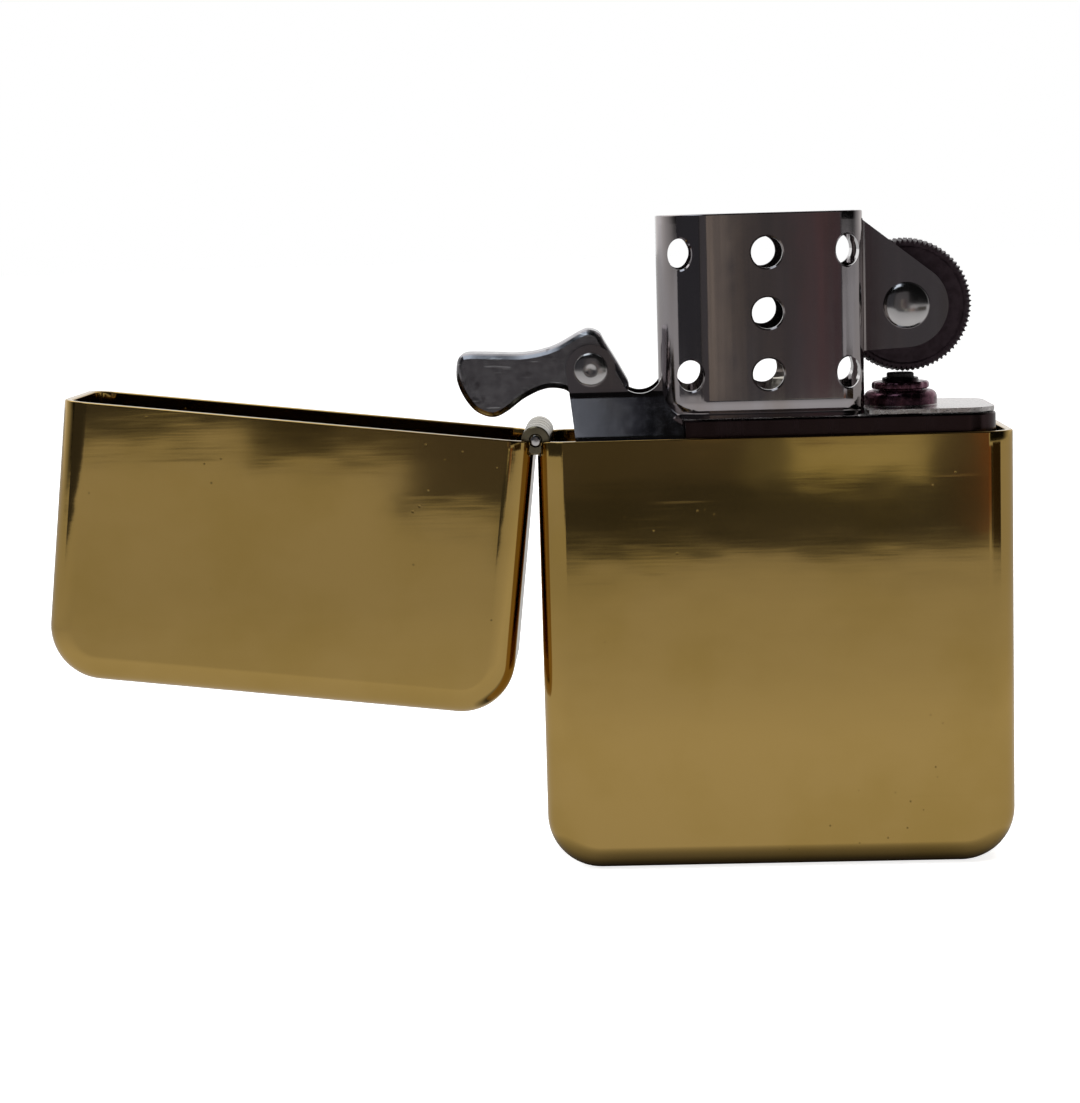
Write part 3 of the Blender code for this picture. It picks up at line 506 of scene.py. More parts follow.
def brass_paint(name, colour, tarnish):
    """Lacquered brass: fine scratches along the face, tiny pits and a slow waviness."""
    paint = Paint(name, colour, 1.0, 0.1)
    cloud = paint.noise((1, 1, 1), 110, 4)
    scratch = paint.noise((40, 40, 1500), 1, 2, 0.6)
    fine = paint.ramp(scratch, 0.62, 0.75)
    where = paint.ramp(paint.noise((1, 1, 1), 70, 2), 0.56, 0.66)
    pits = paint.ramp(paint.spots((1, 1, 1), 800), 0.1, 0.03)
    pits = paint.math("MULTIPLY", pits, where)
    tone = paint.mix(paint.ramp(cloud, 0.4, 0.75), colour, tarnish)
    paint.colour(paint.mix(pits, tone, (0.26, 0.17, 0.05)))
    rough = paint.math("MULTIPLY", paint.math("MULTIPLY", fine, where), 0.12)
    rough = paint.math("ADD", rough, paint.math("MULTIPLY", pits, 0.3))
    paint.roughness(paint.math("ADD", rough, 0.08))
    paint.bump(paint.noise((28, 28, 70), 1, 1.0), 0.06 * MM)
    paint.bump(paint.noise((90, 90, 150), 1, 2.0), 0.035 * MM)
    paint.bump(paint.noise((70, 70, 900), 1, 3.0, 0.6), 0.0022 * MM)
    paint.bump(paint.math("MULTIPLY", scratch, where), 0.0014 * MM)
    paint.bump(pits, -0.006 * MM)
    return paint.made


def steel_paint(name, colour, tint, along, roughness=0.14):
    """Bright rolled steel with drawing lines along one axis and faint heat tints."""
    paint = Paint(name, colour, 1.0, roughness)
    lines = paint.noise(along, 1, 3, 0.6)
    cloud = paint.noise(tuple(a**0.5 * 8 for a in along), 1, 3)
    paint.colour(paint.mix(paint.ramp(cloud, 0.42, 0.66), colour, tint))
    paint.roughness(paint.ramp(lines, 0.3, 0.75, roughness * 0.8, roughness * 1.6))
    paint.bump(lines, 0.0012 * MM)
    paint.bump(paint.noise((1, 1, 1), 200, 2), 0.012 * MM)
    return paint.made


def rough_paint(name, colour, dark, metallic, roughness, grain, depth):
    """A cast, blackened or fibrous surface: mottled colour over a grain."""
    paint = Paint(name, colour, metallic, roughness)
    speck = paint.noise((1, 1, 1), grain, 4, 0.65)
    paint.colour(paint.mix(paint.ramp(speck, 0.35, 0.65), dark, colour))
    paint.roughness(paint.ramp(speck, 0.3, 0.7, roughness * 0.8, min(1.0, roughness * 1.2)))
    paint.bump(speck, depth)
    return paint.made


def lever_paint():
    """Dark satin steel with a few long scratches and stains."""
    steel = (0.33, 0.32, 0.335)
    paint = Paint("lever_steel", steel, 1.0, 0.2)
    scratch = paint.ramp(paint.noise((350, 300, 2600), 1, 1, 0.4), 0.66, 0.72)
    stain = paint.ramp(paint.noise((1, 1, 1), 700, 3), 0.6, 0.7)
    tone = paint.mix(stain, steel, (0.2, 0.19, 0.2))
    paint.colour(paint.mix(scratch, tone, (0.5, 0.49, 0.5)))
    paint.roughness(paint.ramp(paint.noise((1, 1, 1), 1500, 3), 0.3, 0.7, 0.17, 0.26))
    paint.bump(scratch, -0.004 * MM)
    paint.bump(paint.noise((1, 1, 1), 500, 3), 0.006 * MM)
    return paint.made


def tank_paint():
    """Plain drawn steel, faintly tinted by heat, with painted shade darkening it towards the rim of the case,
    where it sits in a shadowed recess.
    """
    colour, painted_shade_tone = (0.4, 0.385, 0.38), (0.05, 0.032, 0.033)
    paint = Paint("tank_steel", colour, 1.0, 0.2)
    cloud = paint.noise((1, 1, 1), 90, 3)
    lines = paint.noise((900, 900, 60), 1, 3, 0.6)
    tone = paint.mix(paint.ramp(cloud, 0.42, 0.66), colour, (0.33, 0.3, 0.285))
    # Painted shade: the colour turns near black over the last 3 mm below the rim, standing in for the shadow under
    # the chimney and inside the rim.
    shade_near_rim = paint.ramp(place_in(paint.tree)["Z"], RIM - 3 * MM, RIM - 0.2 * MM)
    paint.colour(paint.mix(shade_near_rim, tone, painted_shade_tone))
    paint.roughness(paint.ramp(lines, 0.3, 0.75, 0.16, 0.32))
    paint.bump(lines, 0.0012 * MM)
    paint.bump(cloud, 0.02 * MM)
    return paint.made


def banded_paint(name, low, high, level, grain, depth):
    """Two tones, one below a height and one above it, both with a fine grain."""
    paint = Paint(name, low, 1.0, 0.25)
    above = paint.ramp(place_in(paint.tree)["Z"], level - 0.04 * MM, level + 0.04 * MM)
    speck = paint.noise((1, 1, 1), grain, 4, 0.65)
    tone = paint.mix(above, low, high)
    dark = paint.mix(above, tuple(c * 0.7 for c in low), tuple(c * 0.4 for c in high))
    paint.colour(paint.mix(paint.ramp(speck, 0.35, 0.62), dark, tone))
    paint.roughness(paint.ramp(speck, 0.3, 0.7, 0.18, 0.34))
    paint.bump(speck, depth)
    return paint.made


BRASS = brass_paint("brass", (0.50, 0.33, 0.105), (0.46, 0.3, 0.085))
HINGE_STEEL = steel_paint("hinge_plate", (0.3, 0.26, 0.17), (0.16, 0.13, 0.08), (300, 1500, 300), 0.22)
CHROME = steel_paint("chimney_steel", (0.41, 0.38, 0.39), (0.37, 0.33, 0.32), (900, 900, 25), 0.085)
POLISHED = steel_paint("rivet_steel", (0.62, 0.6, 0.59), (0.5, 0.48, 0.48), (200, 200, 200), 0.16)
TANK_STEEL = tank_paint()
PLUM_TONE = (0.24, 0.11, 0.15)
BRIGHT_TONE = (0.78, 0.74, 0.73)
PLATE_STEEL = banded_paint("plate_steel", BRIGHT_TONE, PLUM_TONE, PLATE_TOP + 0.05 * MM, 1100, 0.04 * MM)
# The flint tube is plum below the top of its collar and near black above it, on the neck under the wheel.
PLUM = banded_paint("plum_copper", PLUM_TONE, (0.03, 0.02, 0.024), NECK_FOOT, 1500, 0.012 * MM)
LEVER_STEEL = lever_paint()
FILE_TONE = (0.045, 0.03, 0.037)
WHEEL_STEEL = rough_paint("wheel_steel", FILE_TONE, (0.03, 0.019, 0.024), 0.8, 0.4, 1600, 0.006 * MM)
SCREW_BRASS = rough_paint("screw_brass", (0.62, 0.46, 0.2), (0.5, 0.35, 0.14), 1.0, 0.26, 1500, 0.005 * MM)
FLINT_GREY = rough_paint("flint_grey", (0.03, 0.027, 0.027), (0.012, 0.01, 0.01), 0.4, 0.65, 3000, 0.03 * MM)
COTTON = rough_paint("cotton", (0.82, 0.79, 0.72), (0.62, 0.58, 0.5), 0.0, 0.95, 2600, 0.08 * MM)
FELT = rough_paint("felt", (0.86, 0.84, 0.79), (0.7, 0.68, 0.62), 0.0, 1.0, 4200, 0.12 * MM)


# ---- case, lid and hinge


def hinge_notch(top):
    """The opening in a rim where the knuckles turn."""
    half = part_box("hinge_leaf_case")[1].y + SEAT_GAP
    x = (HINGE.x - 2 * NOTCH_REACH, HINGE.x + NOTCH_REACH)
    return box(x, (-half, half), (HINGE.z - NOTCH_REACH, top))


def make_case():
    case = link("brass_case", cup(HALF_WIDTH, HALF_DEPTH, RIM, CASE_CORNER, CASE_EDGE, WALL))
    cut(case, hinge_notch(RIM + MM))
    finish_piece(case, "case_shell", BRASS)


def opened(mesh):
    """Turns a mesh drawn with the lid shut, round the hinge, to where the lid stands open."""
    turn = Matrix.Rotation(-radians(LID_RANGE), 4, "Y")
    place = Matrix.Translation(HINGE)
    bmesh.ops.transform(mesh, matrix=place @ turn @ place.inverted(), verts=mesh.verts)
    return mesh


def make_lid():
    mesh = cup(HALF_WIDTH, HALF_DEPTH, LID_HEIGHT, CASE_CORNER, CASE_EDGE, WALL)
    for vert in mesh.verts:
        vert.co.z = HINGE.z + HALF_RIM_GAP + LID_HEIGHT - vert.co.z
    lid = link("brass_lid", opened(mesh))
    cut(lid, opened(hinge_notch(HINGE.z + NOTCH_REACH)))
    finish_piece(lid, "lid_shell", BRASS)


def knuckle(low, high):
    """One rolled knuckle with softened ends."""
    edge = 0.1 * MM
    profile = [(BARREL_RADIUS - edge, low), (BARREL_RADIUS, low + edge)]
    profile += [(BARREL_RADIUS, high - edge), (BARREL_RADIUS - edge, high)]
    return turned(profile, 64, "Y", (HINGE.x, HINGE.z))


def make_leaf(node, indices, side):
    """One leaf with its own knuckles: side is 1 for the lid's leaf, drawn shut and then opened."""
    hinge_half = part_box("hinge_leaf_case")[1].y + KNUCKLE_GAP / 2
    pitch = 2 * hinge_half / KNUCKLES
    inner = -HALF_WIDTH + WALL + PLATE_GAP
    near = HINGE.z + side * (BARREL_RADIUS + SEAT_GAP)
    low, high = sorted((near, HINGE.z + side * LEAF_REACH))
    outline = rounded_box(-LEAF_HALF, LEAF_HALF, (high - low) / 2, LEAF_CORNER, LEAF_CORNER, 6)
    outline = [(y, z + (low + high) / 2) for y, z in outline]
    lifts = opened if side > 0 else (lambda mesh: mesh)
    leaf = link(node + "_piece", lifts(prism(outline, inner, inner + LEAF_THICKNESS, "X", 0.05 * MM, 2)))
    for index in indices:
        start = -hinge_half + pitch * index + KNUCKLE_GAP / 2
        end = start + pitch - KNUCKLE_GAP
        tab = sorted((HINGE.z, near + side * LEAF_CORNER))
        ends = (start + 2 * PLATE_GAP, end - 2 * PLATE_GAP)
        boolean(leaf, "UNION", lifts(box((inner, inner + LEAF_THICKNESS), ends, tab)))
        boolean(leaf, "UNION", lifts(knuckle(start, end)))
    bore(leaf, PIN_RADIUS + 0.05 * MM, (HINGE.x, HINGE.z))
    finish_piece(leaf, node, HINGE_STEEL)


def make_pin():
    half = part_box("hinge_pin")[1].y
    dome = 0.25 * MM
    profile = []
    for step in range(6):
        angle = pi / 2 * step / 6
        profile.append((PIN_RADIUS * sin(angle + 0.12), half - dome * (1 - cos(angle))))
    profile.append((PIN_RADIUS, half - dome))
    profile += [(radius, -level) for radius, level in reversed(profile)]
    add_piece("hinge_pin_piece", turned(profile, 48, "Y", (HINGE.x, HINGE.z)), "hinge_pin", POLISHED)


# ---- tank and plates


def stand_left(height):
    return CAM.x - STAND_EAR_RADIUS + STAND_LEAN * (1 - height / (CAM.z - RIM))


def make_tank():
    edge = 0.18 * MM
    outer = [(0, TANK_LOW.z + edge), (0, TANK_HIGH.z - edge)]
    outer += [(edge * (1 - cos(a)), TANK_HIGH.z - edge + edge * sin(a)) for a in (0.5, 1.0, 1.57)]
    inner = [(TANK_WALL, TANK_HIGH.z - 0.02 * MM), (TANK_WALL, TANK_LOW.z), (edge, TANK_LOW.z)]
    rings = []
    for inset, level in outer + inner:
        left, right, half = TANK_LOW.x + inset, TANK_HIGH.x - inset, TANK_HIGH.y - inset
        outline = rounded_box(left, right, half, TANK_CORNER - inset, TANK_CORNER - inset, 12)
        rings.append([(x, y, level) for x, y in outline])
    tank = link("insert_tank", loft(rings, closed=True))
    top = TANK_HIGH.z + MM
    side = (-HALF_DEPTH, HALF_DEPTH)
    cut(tank, box((-HALF_WIDTH, STAND_RIGHT), side, (RIM - 0.5 * MM, top)))
    cut(tank, box((-HALF_WIDTH, stand_left(0)), side, (RIM - 1.6 * MM, top)))
    finish_piece(tank, "fuel_tank", TANK_STEEL)


def make_flint_plate():
    low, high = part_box("flint_plate")
    outline = rounded_box(low.x, high.x, high.y, 0.4 * MM, TANK_CORNER - SEAT_GAP, 12)
    plate = link("flint_flange", prism(outline, low.z, PLATE_TOP, "Z", 0.15 * MM, 4))
    profile = [(BOSS_RADIUS, PLATE_TOP - PLATE_THICKNESS / 2)]
    profile += arc(BOSS_RADIUS - BOSS_EDGE, high.z - BOSS_EDGE, BOSS_EDGE, 0, 90, 6)
    boolean(plate, "UNION", turned(profile, 72, "Z", (FLINT.x, 0)))
    bore(plate, TUBE_OUTER + 0.05 * MM, (FLINT.x, 0), 64, "Z", (RIM, RIM + 9 * MM))
    finish_piece(plate, "flint_plate", PLATE_STEEL, 40)


# ---- chimney and stand


def chimney_outline(inset, widen=0.0):
    left = min(CHIMNEY_LEFT_RADIUS, CHIMNEY_HALF - CAM_HALF / 2) - inset
    right = CHIMNEY_RIGHT_RADIUS - inset
    half = CHIMNEY_HALF + widen - inset
    return rounded_box(CHIMNEY_LEFT + inset, CHIMNEY_RIGHT - inset, half, left, right, 20)


def chimney_wall():
    """The wall, rolled in above a foot that spreads to the tank's faces."""
    lip_steps, rows = 4, 24
    outside = [(RIM + height, widen, 0.0) for height, widen in eased(SKIRT, 4)]
    low, high = outside[-1][0], CHIMNEY_TOP - LIP
    outside += [(low + (high - low) * step / rows, 0.0, 0.0) for step in range(1, rows)]
    outside += [(level, 0.0, LIP - x) for x, level in arc(0, high, LIP, 0, 90, lip_steps)]
    inside = [(level, widen, SHEET - inset) for level, widen, inset in reversed(outside)]
    rings = []
    for level, widen, inset in outside + inside:
        rings.append([(x, y, level) for x, y in chimney_outline(inset, widen)])
    return loft(rings, closed=True)


def stand_outline():
    notch_x = CHIMNEY_LEFT - NOTCH_RADIUS + 0.3 * MM
    notch_z = RIM + NOTCH_HEIGHT
    outline = arc(CAM.x, CAM.z, STAND_EAR_RADIUS, 190, -12, 40)
    outline += arc(notch_x, notch_z, NOTCH_RADIUS, 205, 352, 28)
    right = STAND_RIGHT - SEAT_GAP
    outline += [(CHIMNEY_LEFT + SHEET, notch_z + NOTCH_RADIUS), (right, notch_z + NOTCH_RADIUS)]
    foot = RIM - 0.4 * MM
    return outline + [(right, foot), (stand_left(0), foot)]


def thick_line(line, thickness):
    """The outline of a sheet of even thickness that follows a line in section."""
    outer, inner = [], []
    for i, point in enumerate(line):
        before = Vector(line[max(i - 1, 0)])
        after = Vector(line[min(i + 1, len(line) - 1)])
        along = (after - before).normalized()
        across = Vector((-along.y, along.x)) * thickness / 2
        outer.append(Vector(point) + across)
        inner.append(Vector(point) - across)
    return outer + inner[::-1]


def stand_sheet(side):
    """One side of the stand in section: an ear that bends out to the tank's face."""
    ear = CAM_EAR + SHEET / 2
    face = TANK_HIGH.y - SHEET / 2
    corners = [(ear, CAM.z + 2 * STAND_EAR_RADIUS), (ear, RIM + FLARE_TOP)]
    corners += [(face, RIM + FLARE_FOOT), (face, RIM - MM)]
    line = [tuple(point) for point in rounded_path(corners, 0.8 * MM, 12)]
    outline = [(side * p.x, p.y) for p in thick_line(line, SHEET)]
    return prism(outline, CAM.x - 2 * STAND_EAR_RADIUS, STAND_RIGHT, "X")


def wheel_ear_outline():
    top = Vector((CHIMNEY_RIGHT, CHIMNEY_TOP))
    root = CHIMNEY_RIGHT - SHEET / 2
    reach = Vector((WHEEL.x, WHEEL.z)) - top
    slope = degrees(atan2(reach.y, reach.x))
    touch = slope + 180 - degrees(acos(EAR_RADIUS / reach.length))
    outline = arc(WHEEL.x, WHEEL.z, EAR_RADIUS, touch, -90, 48)
    return outline + [(root, RIM + EAR_FOOT), (root, top.y - SHEET)]


def wheel_ear_sheet(side):
    """Plan of one wheel ear: it leaves the chimney's return on a small bend."""
    middle = WHEEL_EAR + SHEET / 2
    root = CHIMNEY_RIGHT - SHEET / 2
    bend = 0.55 * MM
    line = [(root, middle + 3 * bend)] + arc(root + bend, middle + bend, bend, 180, 270, 10)
    line.append((WHEEL.x + 2 * EAR_RADIUS, middle))
    outline = [(p.x, side * p.y) for p in thick_line(line, SHEET)]
    return prism(outline, RIM, CHIMNEY_TOP, "Z")


def draught_holes():
    """(x, height, width share) of each: those at the round corners are narrower in x."""
    low, _, high = HOLE_ROWS
    centre = (CHIMNEY_LEFT + CHIMNEY_RIGHT) / 2 + 0.5 * MM
    places = [(centre, height, 1.0) for height in HOLE_ROWS]
    places += [(CHIMNEY_LEFT + 2.5 * MM, low, 0.84), (CHIMNEY_LEFT + 1.8 * MM, high, 0.74)]
    places += [(CHIMNEY_RIGHT - 1.3 * MM, low, 0.76), (CHIMNEY_RIGHT - 1.3 * MM, high, 0.76)]
    return places


def wall_face(x):
    """How far out the chimney's outer face stands at x."""
    left = CHIMNEY_LEFT + CHIMNEY_LEFT_RADIUS
    right = CHIMNEY_RIGHT - CHIMNEY_RIGHT_RADIUS
    if x < left:
        return CHIMNEY_HALF - CHIMNEY_LEFT_RADIUS + sqrt(CHIMNEY_LEFT_RADIUS**2 - (left - x) ** 2)
    if x > right:
        return CHIMNEY_HALF - CHIMNEY_RIGHT_RADIUS + sqrt(CHIMNEY_RIGHT_RADIUS**2 - (x - right) ** 2)
    return CHIMNEY_HALF


def punch(x, z, narrow):
    """The tool for a hole through both walls, with rolled-in edges, narrowed in x by a share."""
    face = wall_face(x)
    sunk = 0.13 * MM
    half = [(HOLE_RADIUS, 0), (HOLE_RADIUS, face - sunk)]
    half += [(HOLE_RADIUS + sunk, face), (HOLE_RADIUS + sunk, face + MM)]
    mesh = turned(mirrored(half), 48, "Y", (x, z))
    for vert in mesh.verts:
        vert.co.x = x + (vert.co.x - x) * narrow
    return mesh


def make_chimney():
    chimney = link("windproof_chimney", chimney_wall())
    front_view = stand_outline()
    for side in (-1, 1):
        sheet = link("stand", stand_sheet(side))
        boolean(sheet, "INTERSECT", prism(front_view, -HALF_DEPTH, HALF_DEPTH, "Y"))
        cut(sheet, prism(chimney_outline(SHEET / 2), RIM - MM, CHIMNEY_TOP))
        merge(chimney, sheet)
        ear = link("ear", wheel_ear_sheet(side))
        boolean(ear, "INTERSECT", prism(wheel_ear_outline(), -HALF_DEPTH, HALF_DEPTH, "Y"))
        merge(chimney, ear)
    x = (CHIMNEY_RIGHT - 2 * SHEET, CHIMNEY_RIGHT + SHEET)
    cut(chimney, box(x, (-WHEEL_EAR, WHEEL_EAR), (RIM, CHIMNEY_TOP + MM)))
    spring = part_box("cam_spring")[1]
    half = spring.y + 0.15 * MM
    x = (CHIMNEY_LEFT - SHEET, CHIMNEY_LEFT + 2 * SHEET)
    cut(chimney, box(x, (-half, half), (RIM, spring.z + 0.5 * MM)))
    for x, height, narrow in draught_holes():
        cut(chimney, punch(x, RIM + height, narrow))
    bore(chimney, WHEEL_BORE, (WHEEL.x, WHEEL.z))
    bore(chimney, CAM_BORE, (CAM.x, CAM.z))
    finish_piece(chimney, "chimney", CHROME, 30)


# ---- wheel and cam


def make_wheel():
    """A wheel with a cross-cut file pattern on its rim and dished sides."""
    teeth, around, across = 80, 640, 24
    depth, slant, edge = 0.3 * MM, 2, 0.12 * MM

    def ring(share, radii):
        points = []
        for i, radius in enumerate(radii):
            angle = 2 * pi * i / around
            x, z = WHEEL.x + radius * cos(angle), WHEEL.z + radius * sin(angle)
            points.append((x, share * WHEEL_HALF, z))
        return points

    def toothed(u, v):
        left = abs((u + v * slant) % 1 * 2 - 1)
        right = abs((u - v * slant) % 1 * 2 - 1)
        straight = 0.5 + 0.5 * cos(2 * pi * u)
        return WHEEL_RADIUS - depth * (left + right + 2 * straight) / 3 - edge * abs(v) ** 8

    rim = []
    for j in range(across + 1):
        v = 2 * j / across - 1
        rim.append(ring(v, [toothed(i / around * teeth, v) for i in range(around)]))
    # (share of the half width, radius) of the dished side, from the rim to the bore
    side = ((1, 4.75 * MM), (0.93, 4.6 * MM), (0.93, 2.4 * MM), (1, 2.25 * MM), (1, WHEEL_BORE))
    front = [ring(-share, [radius] * around) for share, radius in reversed(side)]
    back = [ring(share, [radius] * around) for share, radius in side]
    wheel = link("spark_wheel", loft(front + rim + back, closed=True))
    finish_piece(wheel, "flint_wheel", WHEEL_STEEL, 20)


def make_rivet(name, node, centre, ear, shank, head_radius, dimple):
    """A rivet right through its ears, with a domed head at each end."""
    foot = ear + SHEET + PLATE_GAP
    edge = 0.05 * MM
    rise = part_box(node)[1].y - foot - edge
    half = [(shank, 0), (shank, foot), (head_radius - edge, foot), (head_radius, foot + edge)]
    for step in range(1, 13):
        angle = pi / 2 * step / 13
        level = foot + edge + rise * sin(angle)
        radius = head_radius * cos(angle)
        if radius < dimple:
            level -= 0.12 * MM * cos(radius / dimple * pi / 2)
        half.append((radius, level))
    add_piece(name, turned(mirrored(half), 64, "Y", (centre.x, centre.z)), node, POLISHED)


LEVER_POINTS = (  # the lever's outline in mm from the cam pin, anticlockwise from its tip
    (-10.9, 0.3), (-10.85, -0.8), (-10.3, -2.1), (-9.4, -3.2), (-8.1, -3.7), (-6.95, -3.3),
    (-5.4, -2.2), (-3.7, -1.5), (-2.2, -1.6), (-1.2, -2.3), (0.4, -2.65), (2.3, -2.45),
    (3.05, -1.5), (2.4, 0.0), (1.15, 2.15), (0.7, 2.9), (-0.1, 3.2), (-0.9, 2.98),
    (-3.1, 1.85), (-5.4, 1.38), (-8.0, 1.45), (-10.1, 1.5), (-10.7, 1.15),
)


def lever_outline():
    loop = smooth_loop([(x * MM, z * MM) for x, z in LEVER_POINTS], 8)
    return [(CAM.x + x, CAM.z + z) for x, z in loop]


def make_lever():
    outline = lever_outline()
    rings = []
    for side, order in ((-1, LEVER_EDGE), (1, LEVER_EDGE[::-1])):
        for inset, sunk in order:
            level = side * (CAM_HALF - LEVER_BEVEL * sunk)
            rings.append([(x, level, z) for x, z in inset_loop(outline, LEVER_BEVEL * inset)])
    lever = link("snap_lever", loft(rings))
    bore(lever, CAM_BORE, (CAM.x, CAM.z))
    finish_piece(lever, "cam_lever", LEVER_STEEL, 25)


def make_cam_spring():
    """The leaf spring under the lever: flat by its rivet, then rising to the left."""
    low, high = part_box("cam_spring")
    strip = 0.3 * MM
    rise = high.z - low.z - strip
    line = []
    for i in range(25):
        t = i / 24
        lift = rise * max(0.0, (t - 0.25) / 0.75) ** 1.6
        line.append((high.x + (low.x - high.x) * t, low.z + strip / 2 + lift))
    outline = [(p.x, p.y) for p in thick_line(line, strip)]
    spring = link("leaf_spring", prism(outline, low.y, high.y, "Y", 0.06 * MM, 3))
    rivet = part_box("cam_spring_rivet")
    centre = (rivet[0].x + rivet[1].x) / 2
    bore(spring, 0.65 * MM, (centre, 0), 32, "Z", (RIM, RIM + 5 * MM))
    finish_piece(spring, "cam_spring", LEVER_STEEL)
    make_spring_rivet(rivet[0].z, rivet[1].z, rivet[1].x - centre, centre)


def make_spring_rivet(foot, top, radius, centre):
    shank = 0.6 * MM
    dome = 0.42 * MM
    profile = [(radius * 0.6, foot), (radius, foot + 0.3 * MM), (shank, foot + 0.32 * MM)]
    profile += [(shank, top - dome), (radius, top - dome)]
    for step in range(1, 9):
        angle = pi / 2 * step / 9
        profile.append((radius * cos(angle), top - dome * (1 - sin(angle))))
    add_piece("leaf_spring_rivet", turned(profile, 40, "Z", (centre, 0)), "cam_spring_rivet", POLISHED)


# ---- flint feed


def make_flint_tube():
    """The tube, its fluted collar and the thin dark neck above it."""
    low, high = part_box("flint_tube")
    collar = high.x - FLINT.x
    edge = 0.25 * MM
    foot = high.z - COLLAR_HEIGHT
    profile = [(TUBE_BORE, low.z), (TUBE_OUTER, low.z), (TUBE_OUTER, foot)]
    profile += [(collar - 0.1 * MM, foot), (collar, foot + 0.1 * MM)]
    profile += arc(collar - edge, NECK_FOOT - edge, edge, 0, 90, 6)
    profile += [(TUBE_BORE + 0.25 * MM, NECK_FOOT), (TUBE_BORE + 0.2 * MM, high.z), (TUBE_BORE, high.z)]
    mesh = turned(profile, 112, "Z", (FLINT.x, 0), closed=True)
    for vert in mesh.verts:
        x, y = vert.co.x - FLINT.x, vert.co.y
        radius = hypot(x, y)
        if radius > TUBE_OUTER + 0.1 * MM:
            share = 1 - 0.035 * (0.5 - 0.5 * cos(14 * atan2(y, x)))
            vert.co.x, vert.co.y = FLINT.x + x * share, y * share
    add_piece("flint_barrel", mesh, "flint_tube", PLUM)


def make_flint():
    low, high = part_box("flint")
    radius = high.x - FLINT.x
    edge = 0.08 * MM
    profile = [(radius - edge, low.z), (radius, low.z + edge)]
    profile += [(radius, high.z - edge), (radius - edge, high.z)]
    add_piece("flint_rod", turned(profile, 40, "Z", (FLINT.x, 0)), "flint", FLINT_GREY)
    low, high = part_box("spring_tip")
    stem = TUBE_BORE / 3
    shoulder = high.z - 1.4 * MM
    profile = [(stem - edge, low.z), (stem, low.z + edge), (stem, shoulder), (radius - edge, shoulder)]
    profile += [(radius, shoulder + edge), (radius, high.z - 2 * edge), (radius - 2 * edge, high.z)]
    add_piece("spring_cap", turned(profile, 40, "Z", (FLINT.x, 0)), "spring_tip", SCREW_BRASS)


def make_flint_spring():
    """A coil with closed ends, wound in one sweep."""
    low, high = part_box("flint_spring")
    wire = 0.2 * MM
    turns, per_turn = 22, 20
    coil = high.x - FLINT.x - wire
    start, length = low.z + wire, high.z - low.z - 2 * wire
    path = []
    for i in range(turns * per_turn + 1):
        t = i / (turns * per_turn)
        rise = t - 0.03 * sin(2 * pi * t)
        angle = 2 * pi * i / per_turn
        x, y = FLINT.x + coil * cos(angle), coil * sin(angle)
        path.append(Vector((x, y, start + length * rise)))
    spring = link("flint_coil", sweep(path, lambda distance, angle: wire * 0.98, 10))
    finish_piece(spring, "flint_spring", POLISHED, 60)
    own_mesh(spring)


def make_flint_screw():
    """A screw with a slotted head and a rolled thread."""
    low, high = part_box("flint_screw")
    head = high.x - FLINT.x
    neck = low.z + 1.1 * MM
    shank = 1.1 * MM
    edge = 0.25 * MM
    profile = arc(head - edge, low.z + edge, edge, -90, 0, 5)
    profile += [(head, neck - 0.08 * MM), (head - 0.08 * MM, neck), (shank * 0.9, neck)]
    threads, per_thread = 9, 6
    for i in range(threads * per_thread):
        level = neck + 0.2 * MM + (high.z - neck - 0.4 * MM) * i / (threads * per_thread)
        profile.append((shank - 0.06 * MM * (1 + cos(2 * pi * i / per_thread)), level))
    profile.append((shank * 0.75, high.z))
    screw = link("flint_screw_piece", turned(profile, 64, "Z", (FLINT.x, 0)))
    width, depth = 0.35 * MM, 0.55 * MM
    x, y = (FLINT.x - width, FLINT.x + width), (-2 * head, 2 * head)
    cut(screw, box(x, y, (low.z - depth, low.z + depth)))
    finish_piece(screw, "flint_screw", SCREW_BRASS)


# ---- wick, wadding, felt


def rounded_path(points, radius, steps):
    """The path through the points with each corner rounded, at an even fine spacing."""
    points = [Vector(point) for point in points]
    path = points[:1]
    for before, corner, after in zip(points, points[1:], points[2:]):
        enter = corner + (before - corner).normalized() * radius
        leave = corner + (after - corner).normalized() * radius
        for i in range(steps + 1):
            t = i / steps
            path.append(enter * (1 - t) ** 2 + corner * 2 * t * (1 - t) + leave * t**2)
    path.append(points[-1])
    fine = [path[0]]
    step = 0.18 * MM
    for one, two in zip(path, path[1:]):
        parts = max(1, round((two - one).length / step))
        fine += [one.lerp(two, (k + 1) / parts) for k in range(parts)]
    return fine


def make_wick():
    """A braided cord, woven between the wads and up into the chimney."""
    low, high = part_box("wick")
    wads = [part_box(f"cotton_wad_{number}") for number in (1, 2, 3, 4)]
    runs = [(one[1].z + two[0].z) / 2 for one, two in zip(wads, wads[1:])]
    far_left = low.x
    far_right = high.x - 1.55 * MM
    turn_left = wads[2][0].x - 1.85 * MM
    top_x = wads[3][1].x + 1.85 * MM
    route = [(far_left, 0, runs[0]), (far_right, 0, runs[0]), (far_right, 0, runs[1])]
    route += [(turn_left, 0, runs[1]), (turn_left, 0, runs[2])]
    route += [(top_x, 0, runs[2]), (top_x, 0, high.z)]

    def braid(distance, angle):
        twist = distance / (2.4 * MM) * 2 * pi
        strands = abs(sin(4 * angle + twist)) + abs(sin(4 * angle - twist))
        return WICK_RADIUS * (0.88 + 0.06 * strands)

    wick = link("braided_wick", sweep(rounded_path(route, WICK_BEND, 12), braid, 48), 60)
    finish_piece(wick, "wick", COTTON, 70)


